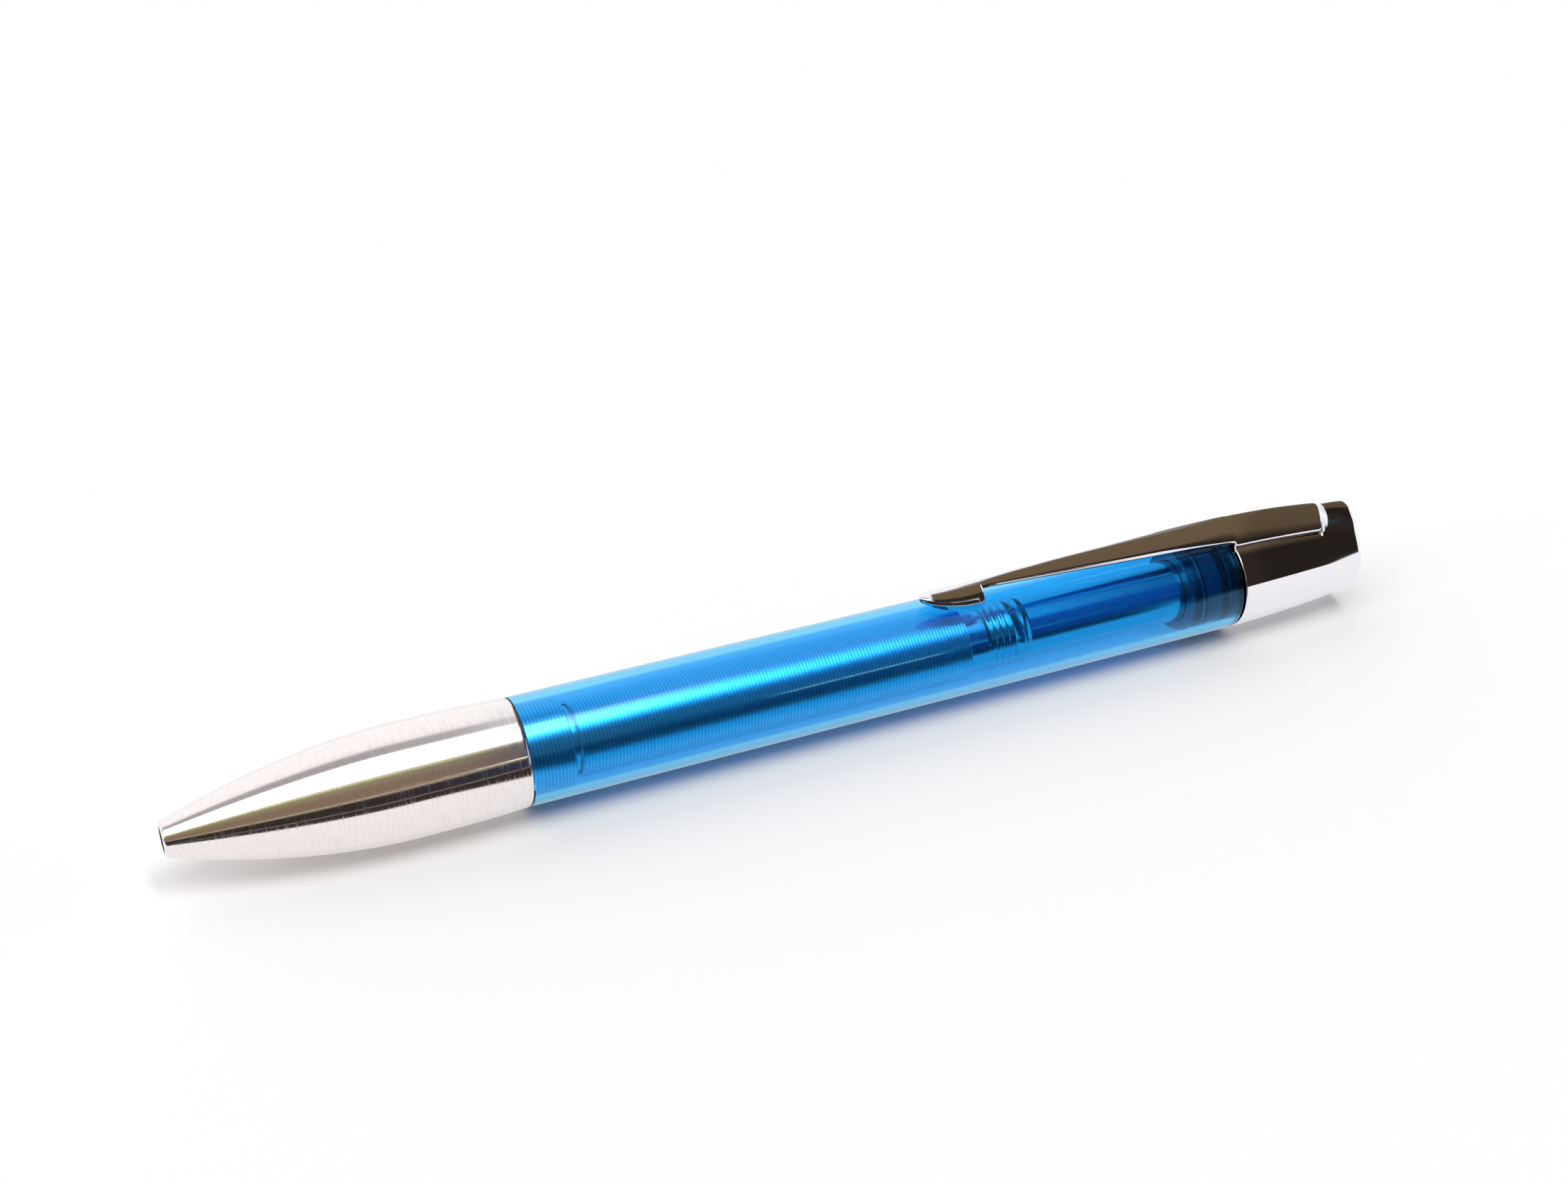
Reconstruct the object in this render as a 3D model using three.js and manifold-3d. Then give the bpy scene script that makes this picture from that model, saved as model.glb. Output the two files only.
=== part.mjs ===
// Twist-action ballpoint pen, in millimetres. X runs along the pen from the nose to the cap, Z is up, and the
// pen lies on the plane Z = 0 with its clip up and its point drawn in.
import * as THREE from "three";
import { mergeVertices } from "three/addons/utils/BufferGeometryUtils.js";
import Module from "manifold-3d";

const wasm = await Module();
wasm.setup();

// Clearances
const FIT = 0.1; // round a piece that slides, turns or is pressed in another
const END_GAP = 0.3; // between two faces that meet end to end
const PAD_GAP = 0.2; // under the clip's pad, over the barrel

// Refill, standard large size, and its travel
const REFILL_RADIUS = 2.9;
const REFILL_LENGTH = 98.1;
const REFILL_WALL = 0.35;
const RETRACTION = 2.5; // how far the point lies inside the nose
const TRAVEL = 5.5;
const TWIST = 120; // degrees that the cap turns to bring the point out
const BALL_RADIUS = 0.5;
const POINT_CONE = 2.7;
const SHANK_RADIUS = 1.15;
const NECK_RADIUS = 1.55;
const NECK_LENGTH = 2.5;
const SHOULDER = 11.5; // from the point back to the refill's shoulder
const INK_FILL = 0.92; // share of the room in the refill's tube
const PLUG_HEAD = 2.4;
const PLUG_TAIL = 3.4;
const PLUG_TEETH = 6;

// Walls from the refill outwards
const HOUSING_WALL = 0.4;
const SLEEVE_WALL = 0.4;
const SLEEVE_AIR = 0.7; // between the inner sleeve and the barrel's bore
const BARREL_WALL = 0.85;

// Nose
const NOSE_LENGTH = 34.2;
const NOSE_SWELL = 0.28; // that the nose stands proud of the barrel at its fullest
const NOSE_LIP = 1.7; // radius at the very front
const NOSE_FULLNESS = 1.8; // exponent of the nose's curve up to the swell
const LIP_ROUND = 0.3;
const SWELL_FRONT = 22.5;
const SWELL_REAR = 25.5;
const NOSE_CHAMFER = 0.15;
const POINT_CLEARANCE = 0.1;
const SPRING_SEAT = 4.2; // from the nose's face to the step that the spring bears on
const SPIGOT_WALL = 0.5;
const THREAD_PITCH = 0.75; // of the nose and of the mechanism housing
const THREAD_DEPTH = 0.2;

// Front bush, inner sleeve and mechanism housing
const BUSH_LENGTH = 4.45;
const BUSH_WEB = 0.7;
const BUSH_GROOVE = 0.85;
const BUSH_NECK = 3.7;
const HOUSING_SPIGOT = 6.6;
const SPIGOT_SHOWN = 2.6;
const HOUSING_THREAD = 3.9; // from its first ridge to the collar, with a plain groove between
const THREAD_RIDGES = 4;
const COLLAR_LENGTH = 0.7;
const COLLAR_PROUD = 0.25;
const HOUSING_BODY = 21.4; // from the collar's front to the housing's rear end
const RING_LENGTH = 1.8;

// Twist mechanism
const PLUNGER_HEAD = 0.7;
const PIN_RADIUS = 0.45;
const SLOT_CLEARANCE = 0.15;
const PIN_TURN = 53.5; // degrees that the cross pin leans up from level
const SLOT_LAND = 0.9; // of the cam sleeve in front of its slots
const CAM_WALL = 0.9;
const CAM_FLANGE = 0.8;
const CAM_TAIL = 1.2;
const STEM_RADIUS = 1.7; // corner radius of the hexagon
const STEM_LENGTH = 8;

// Cap
const SPIGOT_LENGTH = 4.3; // of the cap's spigot inside the barrel
const CAP_LENGTH = 16.2;
const CAP_TAPER = 1.0;
const CAP_EDGE = 0.6;
const CAP_END_WALL = 2.6;
const CAP_BORE = 3.7;
const STEM_HOLD = 5.9; // of the cap's spigot inside the cap
const RUBBER_RADIUS = 0.35;
const SEAT_DROP = 0.95; // from the cap's surface down to the clip's seat, at the cap's front
const SEAT_SLOPE = 2.1; // degrees
const HUMP_CREST = 6.6; // from the axis, just behind the clip
const HUMP_FALL = 0.35;
const HUMP_END = 0.6; // share of the hump where its crest starts to curve down
const HUMP_CURVE = 0.6;

// Clip
const CLIP_LENGTH = 49.6;
const CLIP_REAR = 4.1; // from the cap's end to the clip's rear end
const PAD_LENGTH = 6.9;
const PAD_NOSE = 5.0; // length of the pad's round tip
const PAD_HALF = 2.1;
const PAD_LIFT = 0.75;
const PAD_CREST = 1.25; // above the barrel
const NECK_HALF = 0.75;
const ROOT_HALF = 2.1;
const ROOT_LENGTH = 11.7;
const ARM_RISE = 1.17; // of the arm's lower edge above the barrel, just behind the pad
const ARM_SAG = 0.16; // of that edge above the barrel, just before the cap
const NECK_CREST = 1.6; // of the arm's crest above the barrel, just behind the pad
const ARM_CREST = 2.32; // of the arm's crest above the barrel, at its highest
const ROOT_CREST = 1.28; // of the clip's crest above the barrel, at its rear end
const CLIP_SIDE = 0.2;
const CLIP_WALL = 0.75;
const CORNER = 0.9;
const LUG_LENGTH = 1.6;
const LUG_HALF = 0.8;
const LUG_DEPTH = 2.2;
const LUG_FROM_REAR = 0.7; // from the clip's rear end to the lug's rear face

// Return spring
const SPRING_WIRE = 0.2; // radius
const SPRING_CURLS = 6;
const SPRING_STEPS = 8;
const SPRING_SIDES = 5;

// Facets round the turned pieces
const OUTER_FACETS = 32;
const INNER_FACETS = 24;
const SMALL_FACETS = 16;

// Radii that follow from the walls
const housingBore = REFILL_RADIUS + FIT;
const housingRadius = housingBore + HOUSING_WALL;
const sleeveBore = housingRadius + FIT + 0.05;
const sleeveRadius = sleeveBore + SLEEVE_WALL;
const barrelBore = sleeveRadius + SLEEVE_AIR;
const barrelRadius = barrelBore + BARREL_WALL;
const refillRun = REFILL_RADIUS + 2.5 * FIT; // of the bores that the refill only passes through

// Stations along the pen, from the nose's face
const noseEnd = NOSE_LENGTH;
const barrelStart = noseEnd + END_GAP;
const bushEnd = barrelStart + BUSH_LENGTH;
const sleeveStart = bushEnd + BUSH_GROOVE;
const shoulderStation = RETRACTION + SHOULDER;
const refillEnd = RETRACTION + REFILL_LENGTH;
const plungerStart = refillEnd + END_GAP;
const camStart = plungerStart + PLUNGER_HEAD + END_GAP;
const slotHalf = PIN_RADIUS + SLOT_CLEARANCE;
const pinRest = camStart + SLOT_LAND + slotHalf + TRAVEL;
const housingEnd = pinRest + slotHalf + 1.1;
const ringEnd = housingEnd + END_GAP;
const collarStart = housingEnd - HOUSING_BODY;
const threadStart = collarStart - HOUSING_THREAD;
const sleeveEnd = threadStart - SPIGOT_SHOWN;
const housingStart = threadStart - HOUSING_SPIGOT;
const spigotStart = ringEnd + END_GAP;
const barrelEnd = spigotStart + SPIGOT_LENGTH;
const capStart = barrelEnd + END_GAP;
const capEnd = capStart + CAP_LENGTH;
const capBoreEnd = capEnd - CAP_END_WALL;
const clipEnd = capEnd - CLIP_REAR;
const clipStart = clipEnd - CLIP_LENGTH;
const lugEnd = clipEnd - LUG_FROM_REAR;
const lugStart = lugEnd - LUG_LENGTH;

// A closed mesh as a solid for cutting and joining.
function solidOf(geometry) {
  const bare = geometry.index ? geometry.toNonIndexed() : geometry.clone();
  bare.deleteAttribute("normal");
  bare.deleteAttribute("uv");
  const merged = mergeVertices(bare, 1e-4);
  return new wasm.Manifold(
    new wasm.Mesh({
      numProp: 3,
      vertProperties: new Float32Array(merged.attributes.position.array),
      triVerts: new Uint32Array(merged.index.array),
    }),
  );
}

function geometryOf(solid) {
  const mesh = solid.getMesh();
  const points = new Float32Array(mesh.numVert * 3);
  for (let i = 0; i < mesh.numVert; i += 1) {
    for (let axis = 0; axis < 3; axis += 1) {
      points[3 * i + axis] = mesh.vertProperties[mesh.numProp * i + axis];
    }
  }
  const geometry = new THREE.BufferGeometry();
  geometry.setAttribute("position", new THREE.BufferAttribute(points, 3));
  geometry.setIndex(new THREE.BufferAttribute(new Uint32Array(mesh.triVerts), 1));
  const flat = geometry.toNonIndexed();
  flat.computeVertexNormals();
  return flat;
}

// A turned piece about the pen's axis. The profile is a list of [station, radius]; it ends where it starts, or
// both its ends lie on the axis. A facet faces straight down, so that the piece can rest on it.
function turned(profile, facets) {
  const closed = profile[0][1] > 0 || profile[profile.length - 1][1] > 0;
  const loop = closed ? [...profile, profile[0]] : profile;
  const area = loop.reduce((sum, [x, r], i) => {
    const [nextX, nextR] = loop[(i + 1) % loop.length];
    return sum + x * nextR - nextX * r;
  }, 0);
  const ordered = area > 0 ? [...loop].reverse() : loop;
  const points = ordered.map(([x, r]) => new THREE.Vector2(r, x));
  return new THREE.LatheGeometry(points, facets, Math.PI / facets).rotateZ(-Math.PI / 2);
}

function tube(from, to, inner, outer, facets) {
  return turned([[from, inner], [from, outer], [to, outer], [to, inner]], facets);
}

function box(x0, x1, y0, y1, z0, z1) {
  const geometry = new THREE.BoxGeometry(x1 - x0, y1 - y0, z1 - z0);
  return geometry.translate((x0 + x1) / 2, (y0 + y1) / 2, (z0 + z1) / 2);
}

// Triangles of a ring without hollows, all from its first point.
function fan(ring) {
  return ring.slice(2).map((_, i) => [0, i + 1, i + 2]);
}

// Triangles of any ring that lies across the pen.
function crosswise(ring) {
  return THREE.ShapeUtils.triangulateShape(ring.map((p) => new THREE.Vector2(p.y, p.z)), []);
}

// Rings of points with as many in each, skinned and closed at both ends, with the faces turned outwards.
function skinned(rings, endTriangles) {
  const points = rings.flat();
  const count = rings[0].length;
  const index = [];
  for (let k = 0; k + 1 < rings.length; k += 1) {
    for (let i = 0; i < count; i += 1) {
      const a = k * count + i;
      const b = k * count + ((i + 1) % count);
      index.push(a, b, a + count, b, b + count, a + count);
    }
  }
  const last = (rings.length - 1) * count;
  for (const [i, j, k] of endTriangles(rings[0])) {
    index.push(i, k, j);
  }
  for (const [i, j, k] of endTriangles(rings[rings.length - 1])) {
    index.push(last + i, last + j, last + k);
  }
  let volume = 0;
  for (let i = 0; i < index.length; i += 3) {
    const [a, b, c] = index.slice(i, i + 3).map((k) => points[k]);
    volume += a.dot(b.clone().cross(c));
  }
  const geometry = new THREE.BufferGeometry().setFromPoints(points);
  geometry.setIndex(volume > 0 ? index : index.reverse());
  return geometry;
}

// Ridges of a thread as rings, from crest to root and back.
function ridges(from, pitch, count, crest, root) {
  const points = [];
  for (let k = 0; k < count; k += 1) {
    points.push([from + pitch * k, root], [from + pitch * (k + 0.35), crest]);
    points.push([from + pitch * (k + 0.65), crest]);
  }
  return points;
}

const lerp = THREE.MathUtils.lerp;
const radians = THREE.MathUtils.degToRad;

// Nose

const noseFull = barrelRadius + NOSE_SWELL;
const axisHeight = noseFull * Math.cos(Math.PI / OUTER_FACETS);
const pointBore = SHANK_RADIUS + POINT_CLEARANCE;
const springRadius = NECK_RADIUS + SPRING_WIRE + 0.35;
const springBore = springRadius + SPRING_WIRE + 0.15;
const refillBoreStart = shoulderStation - TRAVEL - END_GAP;
const spigotRadius = refillRun + SPIGOT_WALL;
const spigotEnd = bushEnd - BUSH_WEB - END_GAP;

// Radius of the nose at a station: a full curve up to the swell, and a shallow one down to the barrel.
function noseRadius(x) {
  if (x < SWELL_FRONT) {
    return noseFull - (noseFull - NOSE_LIP) * ((SWELL_FRONT - x) / SWELL_FRONT) ** NOSE_FULLNESS;
  }
  const past = Math.max(0, x - SWELL_REAR) / (noseEnd - SWELL_REAR);
  return noseFull - NOSE_SWELL * past ** 2;
}

function noseCone() {
  const shares = [LIP_ROUND / SWELL_FRONT, 0.05, 0.13, 0.24, 0.37, 0.52, 0.69, 0.85, 1];
  const front = shares.map((k) => [k * SWELL_FRONT, noseRadius(k * SWELL_FRONT)]);
  const rear = [0, 0.35, 0.7].map((k) => {
    const x = lerp(SWELL_REAR, noseEnd, k);
    return [x, noseRadius(x)];
  });
  const ridgeCount = Math.floor((spigotEnd - noseEnd - 0.6) / THREAD_PITCH);
  const thread = ridges(noseEnd + 0.4, THREAD_PITCH, ridgeCount, spigotRadius, spigotRadius - THREAD_DEPTH);
  return turned(
    [
      [0, pointBore],
      [0, NOSE_LIP - LIP_ROUND],
      ...front,
      ...rear,
      [noseEnd - NOSE_CHAMFER, noseRadius(noseEnd - NOSE_CHAMFER)],
      [noseEnd, barrelRadius - NOSE_CHAMFER],
      [noseEnd, spigotRadius - THREAD_DEPTH],
      ...thread,
      [spigotEnd, spigotRadius - THREAD_DEPTH],
      [spigotEnd, refillRun],
      [refillBoreStart, refillRun],
      [refillBoreStart, springBore],
      [SPRING_SEAT, springBore],
      [SPRING_SEAT, pointBore],
    ],
    OUTER_FACETS,
  );
}

// Barrel and what is fixed in it

function frontBush() {
  const outer = barrelBore - FIT;
  const neck = sleeveBore - FIT;
  return turned(
    [
      [barrelStart, spigotRadius + FIT],
      [barrelStart, outer],
      [bushEnd, outer],
      [bushEnd, neck],
      [bushEnd + BUSH_NECK, neck],
      [bushEnd + BUSH_NECK, refillRun],
      [bushEnd - BUSH_WEB, refillRun],
      [bushEnd - BUSH_WEB, spigotRadius + FIT],
    ],
    OUTER_FACETS,
  );
}

function barrelTube() {
  return tube(barrelStart, barrelEnd, barrelBore, barrelRadius, OUTER_FACETS);
}

function innerSleeve() {
  return tube(sleeveStart, sleeveEnd, sleeveBore, sleeveRadius, OUTER_FACETS);
}

// The straight slots let the follower pin slide and keep it from turning.
function mechanismHousing() {
  const spigot = sleeveBore - FIT;
  const crest = housingRadius + COLLAR_PROUD;
  const body = turned(
    [
      [housingStart, housingBore],
      [housingStart, spigot],
      [threadStart - 0.3, spigot],
      ...ridges(threadStart, THREAD_PITCH, THREAD_RIDGES, crest, housingRadius),
      [collarStart, housingRadius],
      [collarStart, crest],
      [collarStart + COLLAR_LENGTH, crest],
      [collarStart + COLLAR_LENGTH, housingRadius],
      [housingEnd, housingRadius],
      [housingEnd, housingBore],
    ],
    INNER_FACETS,
  );
  const reach = housingRadius + 1;
  const slot = box(pinRest - TRAVEL - slotHalf, pinRest + slotHalf, -reach, reach, -slotHalf, slotHalf);
  return geometryOf(solidOf(body).subtract(solidOf(slot.rotateX(radians(PIN_TURN)))));
}

function housingRing() {
  const outer = barrelBore - FIT;
  const inner = housingRadius + FIT;
  return tube(ringEnd - RING_LENGTH, ringEnd, inner, outer, OUTER_FACETS);
}

// Twist mechanism

const camRadius = housingBore - FIT;
const camBore = camRadius - CAM_WALL;
const camFlangeStart = ringEnd;
const camFlangeEnd = camFlangeStart + CAM_FLANGE;
const camEnd = camFlangeEnd + CAM_TAIL;
const camTailRadius = camRadius - 3 * FIT;
const plungerRadius = camBore - FIT;
const plungerEnd = pinRest + slotHalf + 0.8;

// A spiral slot's cutter: it starts round the pin at rest and follows it as the cap turns.
function spiralCutter(startAngle) {
  const steps = 14;
  const inner = camBore - 0.4;
  const outer = camRadius + 0.4;
  const sweep = radians(TWIST);
  const lean = Math.atan2(TRAVEL / sweep, camRadius);
  const run = slotHalf / camBore / Math.cos(lean);
  const rings = [];
  for (let k = 0; k <= steps; k += 1) {
    const turn = lerp(-run, sweep + run, k / steps);
    const centre = pinRest - (TRAVEL * turn) / sweep;
    const corner = (radius, side) => {
      const angle = startAngle + turn + (side * slotHalf * Math.sin(lean)) / radius;
      const x = centre + side * slotHalf * Math.cos(lean);
      return new THREE.Vector3(x, radius * Math.cos(angle), radius * Math.sin(angle));
    };
    rings.push([corner(inner, -1), corner(inner, 1), corner(outer, 1), corner(outer, -1)]);
  }
  return solidOf(skinned(rings, fan));
}

function camSleeve() {
  const body = turned(
    [
      [camStart, camBore],
      [camStart, camRadius],
      [camFlangeStart, camRadius],
      [camFlangeStart, housingRadius],
      [camFlangeEnd, housingRadius],
      [camFlangeEnd, camTailRadius],
      [camEnd, camTailRadius],
      [camEnd, camBore],
    ],
    INNER_FACETS,
  );
  const start = radians(PIN_TURN);
  return geometryOf(solidOf(body).subtract(spiralCutter(start)).subtract(spiralCutter(start + Math.PI)));
}

function driveStem() {
  const plugStart = plungerEnd + END_GAP;
  const plug = turned(
    [[plugStart, 0], [plugStart, camBore - FIT], [camEnd, camBore - FIT], [camEnd, 0]],
    SMALL_FACETS,
  );
  const hexagon = new THREE.CylinderGeometry(STEM_RADIUS, STEM_RADIUS, STEM_LENGTH + 0.2, 6).rotateZ(-Math.PI / 2);
  hexagon.translate(camEnd + STEM_LENGTH / 2 - 0.1, 0, 0);
  return geometryOf(solidOf(plug).add(solidOf(hexagon)));
}

// A round bar across the pen, on the line of the housing's slots.
function crossPin(radius, length) {
  const bar = new THREE.CylinderGeometry(radius, radius, length, 12);
  return bar.rotateX(radians(PIN_TURN)).translate(pinRest, 0, 0);
}

function plunger() {
  const head = housingBore - 2 * FIT;
  const body = turned(
    [
      [plungerStart, 0],
      [plungerStart, head],
      [plungerStart + PLUNGER_HEAD, head],
      [plungerStart + PLUNGER_HEAD, plungerRadius],
      [plungerEnd, plungerRadius],
      [plungerEnd, 0],
    ],
    INNER_FACETS,
  );
  const hole = crossPin(PIN_RADIUS + 0.05, 8);
  return geometryOf(solidOf(body).subtract(solidOf(hole)));
}

function followerPin() {
  return crossPin(PIN_RADIUS, 2 * (housingRadius - FIT));
}

// Cap

const capRim = barrelRadius - CAP_TAPER;
const rubberStation = spigotStart + 2.4;
const rubberRing = barrelBore - 2 * FIT - RUBBER_RADIUS + 0.1;
const spigotRear = capStart + STEM_HOLD;
const seatHeight = barrelRadius - SEAT_DROP;

// Radius of the cap at a station, before its edge is rounded.
function capRadius(x) {
  const along = (x - capStart) / CAP_LENGTH;
  return lerp(barrelRadius, capRim, Math.max(0, along) ** 1.6);
}

// Height of the clip's seat in the cap at a station.
function seatAt(x) {
  return seatHeight - Math.tan(radians(SEAT_SLOPE)) * (x - capStart);
}

function capSpigot() {
  const outer = barrelBore - 1.5 * FIT;
  const groove = rubberRing - RUBBER_RADIUS - 0.05;
  const half = RUBBER_RADIUS + 0.1;
  const front = housingRadius + 1.5 * FIT;
  const bore = camTailRadius + 2 * FIT;
  const webStart = camEnd + END_GAP;
  const body = turned(
    [
      [spigotStart, front],
      [spigotStart, outer],
      [rubberStation - half, outer],
      [rubberStation - half, groove],
      [rubberStation + half, groove],
      [rubberStation + half, outer],
      [barrelEnd, outer],
      [barrelEnd, CAP_BORE - FIT],
      [spigotRear, CAP_BORE - FIT],
      [spigotRear, 0],
      [webStart, 0],
      [webStart, bore],
      [camFlangeEnd + END_GAP, bore],
      [camFlangeEnd + END_GAP, front],
    ],
    OUTER_FACETS,
  );
  const length = spigotRear - camEnd + 2;
  const radius = STEM_RADIUS + FIT;
  const hexagon = new THREE.CylinderGeometry(radius, radius, length, 6).rotateZ(-Math.PI / 2);
  hexagon.translate(camEnd + length / 2 - 0.5, 0, 0);
  return geometryOf(solidOf(body).subtract(solidOf(hexagon)));
}

function frictionRing() {
  const ring = new THREE.TorusGeometry(rubberRing, RUBBER_RADIUS, 6, OUTER_FACETS);
  return ring.rotateY(Math.PI / 2).translate(rubberStation, 0, 0);
}

// Outline of the clip seen from above, at a distance from its rear end, as a half width.
function rearHalf(fromRear) {
  const corner = THREE.MathUtils.clamp(fromRear / CORNER, 0, 1);
  return ROOT_HALF - CORNER * (1 - Math.sqrt(1 - (1 - corner) ** 2));
}

// The recess that the clip's root lies in: its outline from above, cut down to the sloping seat.
function clipRecess() {
  const half = ROOT_HALF + 2 * FIT;
  const rear = clipEnd + 0.4;
  const outline = new THREE.Shape();
  outline.moveTo(capStart - 1, -half);
  outline.lineTo(rear - CORNER, -half);
  outline.absarc(rear - CORNER, -half + CORNER, CORNER, -Math.PI / 2, 0, false);
  outline.absarc(rear - CORNER, half - CORNER, CORNER, 0, Math.PI / 2, false);
  outline.lineTo(capStart - 1, half);
  outline.closePath();
  const block = new THREE.ExtrudeGeometry(outline, { depth: 8, bevelEnabled: false, curveSegments: 4 });
  block.translate(-capStart, 0, 0).rotateY(radians(SEAT_SLOPE)).translate(capStart, 0, seatHeight);
  return solidOf(block);
}

// The hump that carries the clip's line on to the cap's end.
function capHump() {
  const from = clipEnd - 0.6;
  const rings = [0, 0.35, HUMP_END, 0.8, 0.92, 1].map((along) => {
    const x = lerp(from, capEnd - 0.1, along);
    const crest = HUMP_CREST - HUMP_FALL * along - HUMP_CURVE * Math.max(0, along - HUMP_END) ** 2;
    return crownRing(x, ROOT_HALF + 3 * FIT, seatAt(x) - 1, crest, seatAt(x) - 1);
  });
  return solidOf(skinned(rings, crosswise));
}

function capShell() {
  const stations = [0, 0.2, 0.4, 0.6, 0.75, 0.88].map((k) => capStart + k * CAP_LENGTH);
  const round = [0, 30, 60, 90].map((turn) => {
    const centre = capRadius(capEnd - CAP_EDGE) - CAP_EDGE;
    const angle = radians(turn);
    return [capEnd - CAP_EDGE + CAP_EDGE * Math.sin(angle), centre + CAP_EDGE * Math.cos(angle)];
  });
  const outside = stations.map((x) => [x, capRadius(x)]);
  const body = turned(
    [[capBoreEnd, 0], [capBoreEnd, CAP_BORE], [capStart, CAP_BORE], ...outside, ...round, [capEnd, 0]],
    OUTER_FACETS,
  );
  const lugSlot = box(
    lugStart - END_GAP,
    lugEnd + END_GAP,
    -LUG_HALF - END_GAP,
    LUG_HALF + END_GAP,
    CAP_BORE - 1.5,
    barrelRadius,
  );
  const shell = solidOf(body).add(capHump().subtract(solidOf(box(capStart, capEnd, -4, 4, -6, CAP_BORE + 0.1))));
  return geometryOf(shell.subtract(clipRecess()).subtract(solidOf(lugSlot)));
}

function capInsert() {
  const start = spigotRear + END_GAP;
  const end = capBoreEnd - END_GAP;
  const radius = CAP_BORE - FIT;
  const body = turned([[start, 0], [start, radius], [end, radius], [end, 0]], OUTER_FACETS);
  const slot = box(
    lugStart - END_GAP,
    lugEnd + END_GAP,
    -LUG_HALF - END_GAP,
    LUG_HALF + END_GAP,
    seatAt(lugEnd) - LUG_DEPTH - END_GAP,
    CAP_BORE + 1,
  );
  return geometryOf(solidOf(body).subtract(solidOf(slot)));
}

// Clip

// One cross-section of a crowned bar: short upright sides, a parabola over the top and a hollow below.
function crownRing(x, half, edge, crest, hollow) {
  const side = Math.min(CLIP_SIDE, (crest - edge) / 2);
  const top = [];
  for (let k = -4; k <= 4; k += 1) {
    const y = (half * k) / 4;
    top.push(new THREE.Vector3(x, y, crest - (crest - edge - side) * (k / 4) ** 2));
  }
  const inner = half * 0.62;
  return [
    new THREE.Vector3(x, -half, edge),
    ...top,
    new THREE.Vector3(x, half, edge),
    new THREE.Vector3(x, inner, lerp(edge, hollow, 0.72)),
    new THREE.Vector3(x, 0, hollow),
    new THREE.Vector3(x, -inner, lerp(edge, hollow, 0.72)),
  ].reverse();
}

// Pad: a spoon with a round tip that follows the barrel below and lifts towards its tip.
function padRing(along) {
  const nose = Math.max(0, 1 - along / PAD_NOSE);
  const heel = Math.max(0, along - (PAD_LENGTH - CORNER)) / CORNER;
  const half = PAD_HALF * Math.sqrt(1 - nose ** 2) - 0.5 * heel ** 2;
  const lift = PAD_LIFT * (1 - along / PAD_LENGTH) ** 2;
  const under = barrelRadius + PAD_GAP;
  const edge = Math.sqrt(under ** 2 - half ** 2) + lift;
  return crownRing(clipStart + along, half, edge, barrelRadius + PAD_CREST + lift * 0.2, under + lift);
}

// Height of the arm's crest and of its lower edge, at a distance from the clip's tip.
const crestLine = new THREE.SplineCurve(
  [
    [PAD_LENGTH, NECK_CREST - 0.1],
    [PAD_LENGTH + 3, NECK_CREST + 0.18],
    [CLIP_LENGTH * 0.33, ARM_CREST - 0.22],
    [CLIP_LENGTH * 0.5, ARM_CREST - 0.07],
    [CLIP_LENGTH * 0.66, ARM_CREST],
    [CLIP_LENGTH - ROOT_LENGTH, ARM_CREST - 0.06],
    [CLIP_LENGTH - ROOT_LENGTH / 2, (ARM_CREST + ROOT_CREST) / 2 + 0.14],
    [CLIP_LENGTH, ROOT_CREST],
  ].map(([u, rise]) => new THREE.Vector2(u, barrelRadius + rise)),
);
const edgeLine = new THREE.SplineCurve(
  [
    [PAD_LENGTH, ARM_RISE],
    [CLIP_LENGTH * 0.33, ARM_RISE - 0.25],
    [CLIP_LENGTH * 0.5, ARM_RISE - 0.5],
    [CLIP_LENGTH * 0.66, ARM_SAG + 0.34],
    [CLIP_LENGTH - ROOT_LENGTH, ARM_SAG],
  ].map(([u, rise]) => new THREE.Vector2(u, barrelRadius + rise)),
);

// Height of a line at a distance from the tip.
function heightAt(line, along) {
  const samples = line.getPoints(120);
  const next = samples.findIndex((p) => p.x >= along);
  if (next <= 0) {
    return next === 0 ? samples[0].y : samples[samples.length - 1].y;
  }
  const a = samples[next - 1];
  const b = samples[next];
  return lerp(a.y, b.y, (along - a.x) / (b.x - a.x));
}

function armRing(along) {
  const run = (along - PAD_LENGTH) / (CLIP_LENGTH - ROOT_LENGTH - PAD_LENGTH);
  const half = lerp(NECK_HALF, ROOT_HALF, run ** 0.9);
  const edge = heightAt(edgeLine, along);
  const crest = heightAt(crestLine, along);
  return crownRing(clipStart + along, half, edge, crest, Math.max(edge, crest - CLIP_WALL));
}

function rootRing(along) {
  const x = clipStart + along;
  const edge = seatAt(x) + 0.25;
  return crownRing(x, rearHalf(CLIP_LENGTH - along), edge, heightAt(crestLine, along), edge);
}

function clip() {
  const pad = [0.12, 0.5, 1.2, 2.2, 3.5, 5, PAD_LENGTH - CORNER, PAD_LENGTH - CORNER / 3, PAD_LENGTH];
  const armLength = CLIP_LENGTH - ROOT_LENGTH - PAD_LENGTH;
  const arm = [0.008, 0.04, 0.09, 0.18, 0.3, 0.45, 0.6, 0.75, 0.9, 1].map((k) => PAD_LENGTH + k * armLength);
  const root = [0.3, 3, 6, 9, ROOT_LENGTH - CORNER, ROOT_LENGTH - CORNER / 2.5, ROOT_LENGTH].map(
    (back) => CLIP_LENGTH - ROOT_LENGTH + back,
  );
  const rings = [...pad.map(padRing), ...arm.map(armRing), ...root.map(rootRing)];
  const body = skinned(rings, crosswise);
  const lugTop = seatAt(lugEnd) + 0.8;
  const lug = box(lugStart, lugEnd, -LUG_HALF, LUG_HALF, seatAt(lugEnd) - LUG_DEPTH, lugTop);
  return geometryOf(solidOf(body).add(solidOf(lug)));
}

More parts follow.
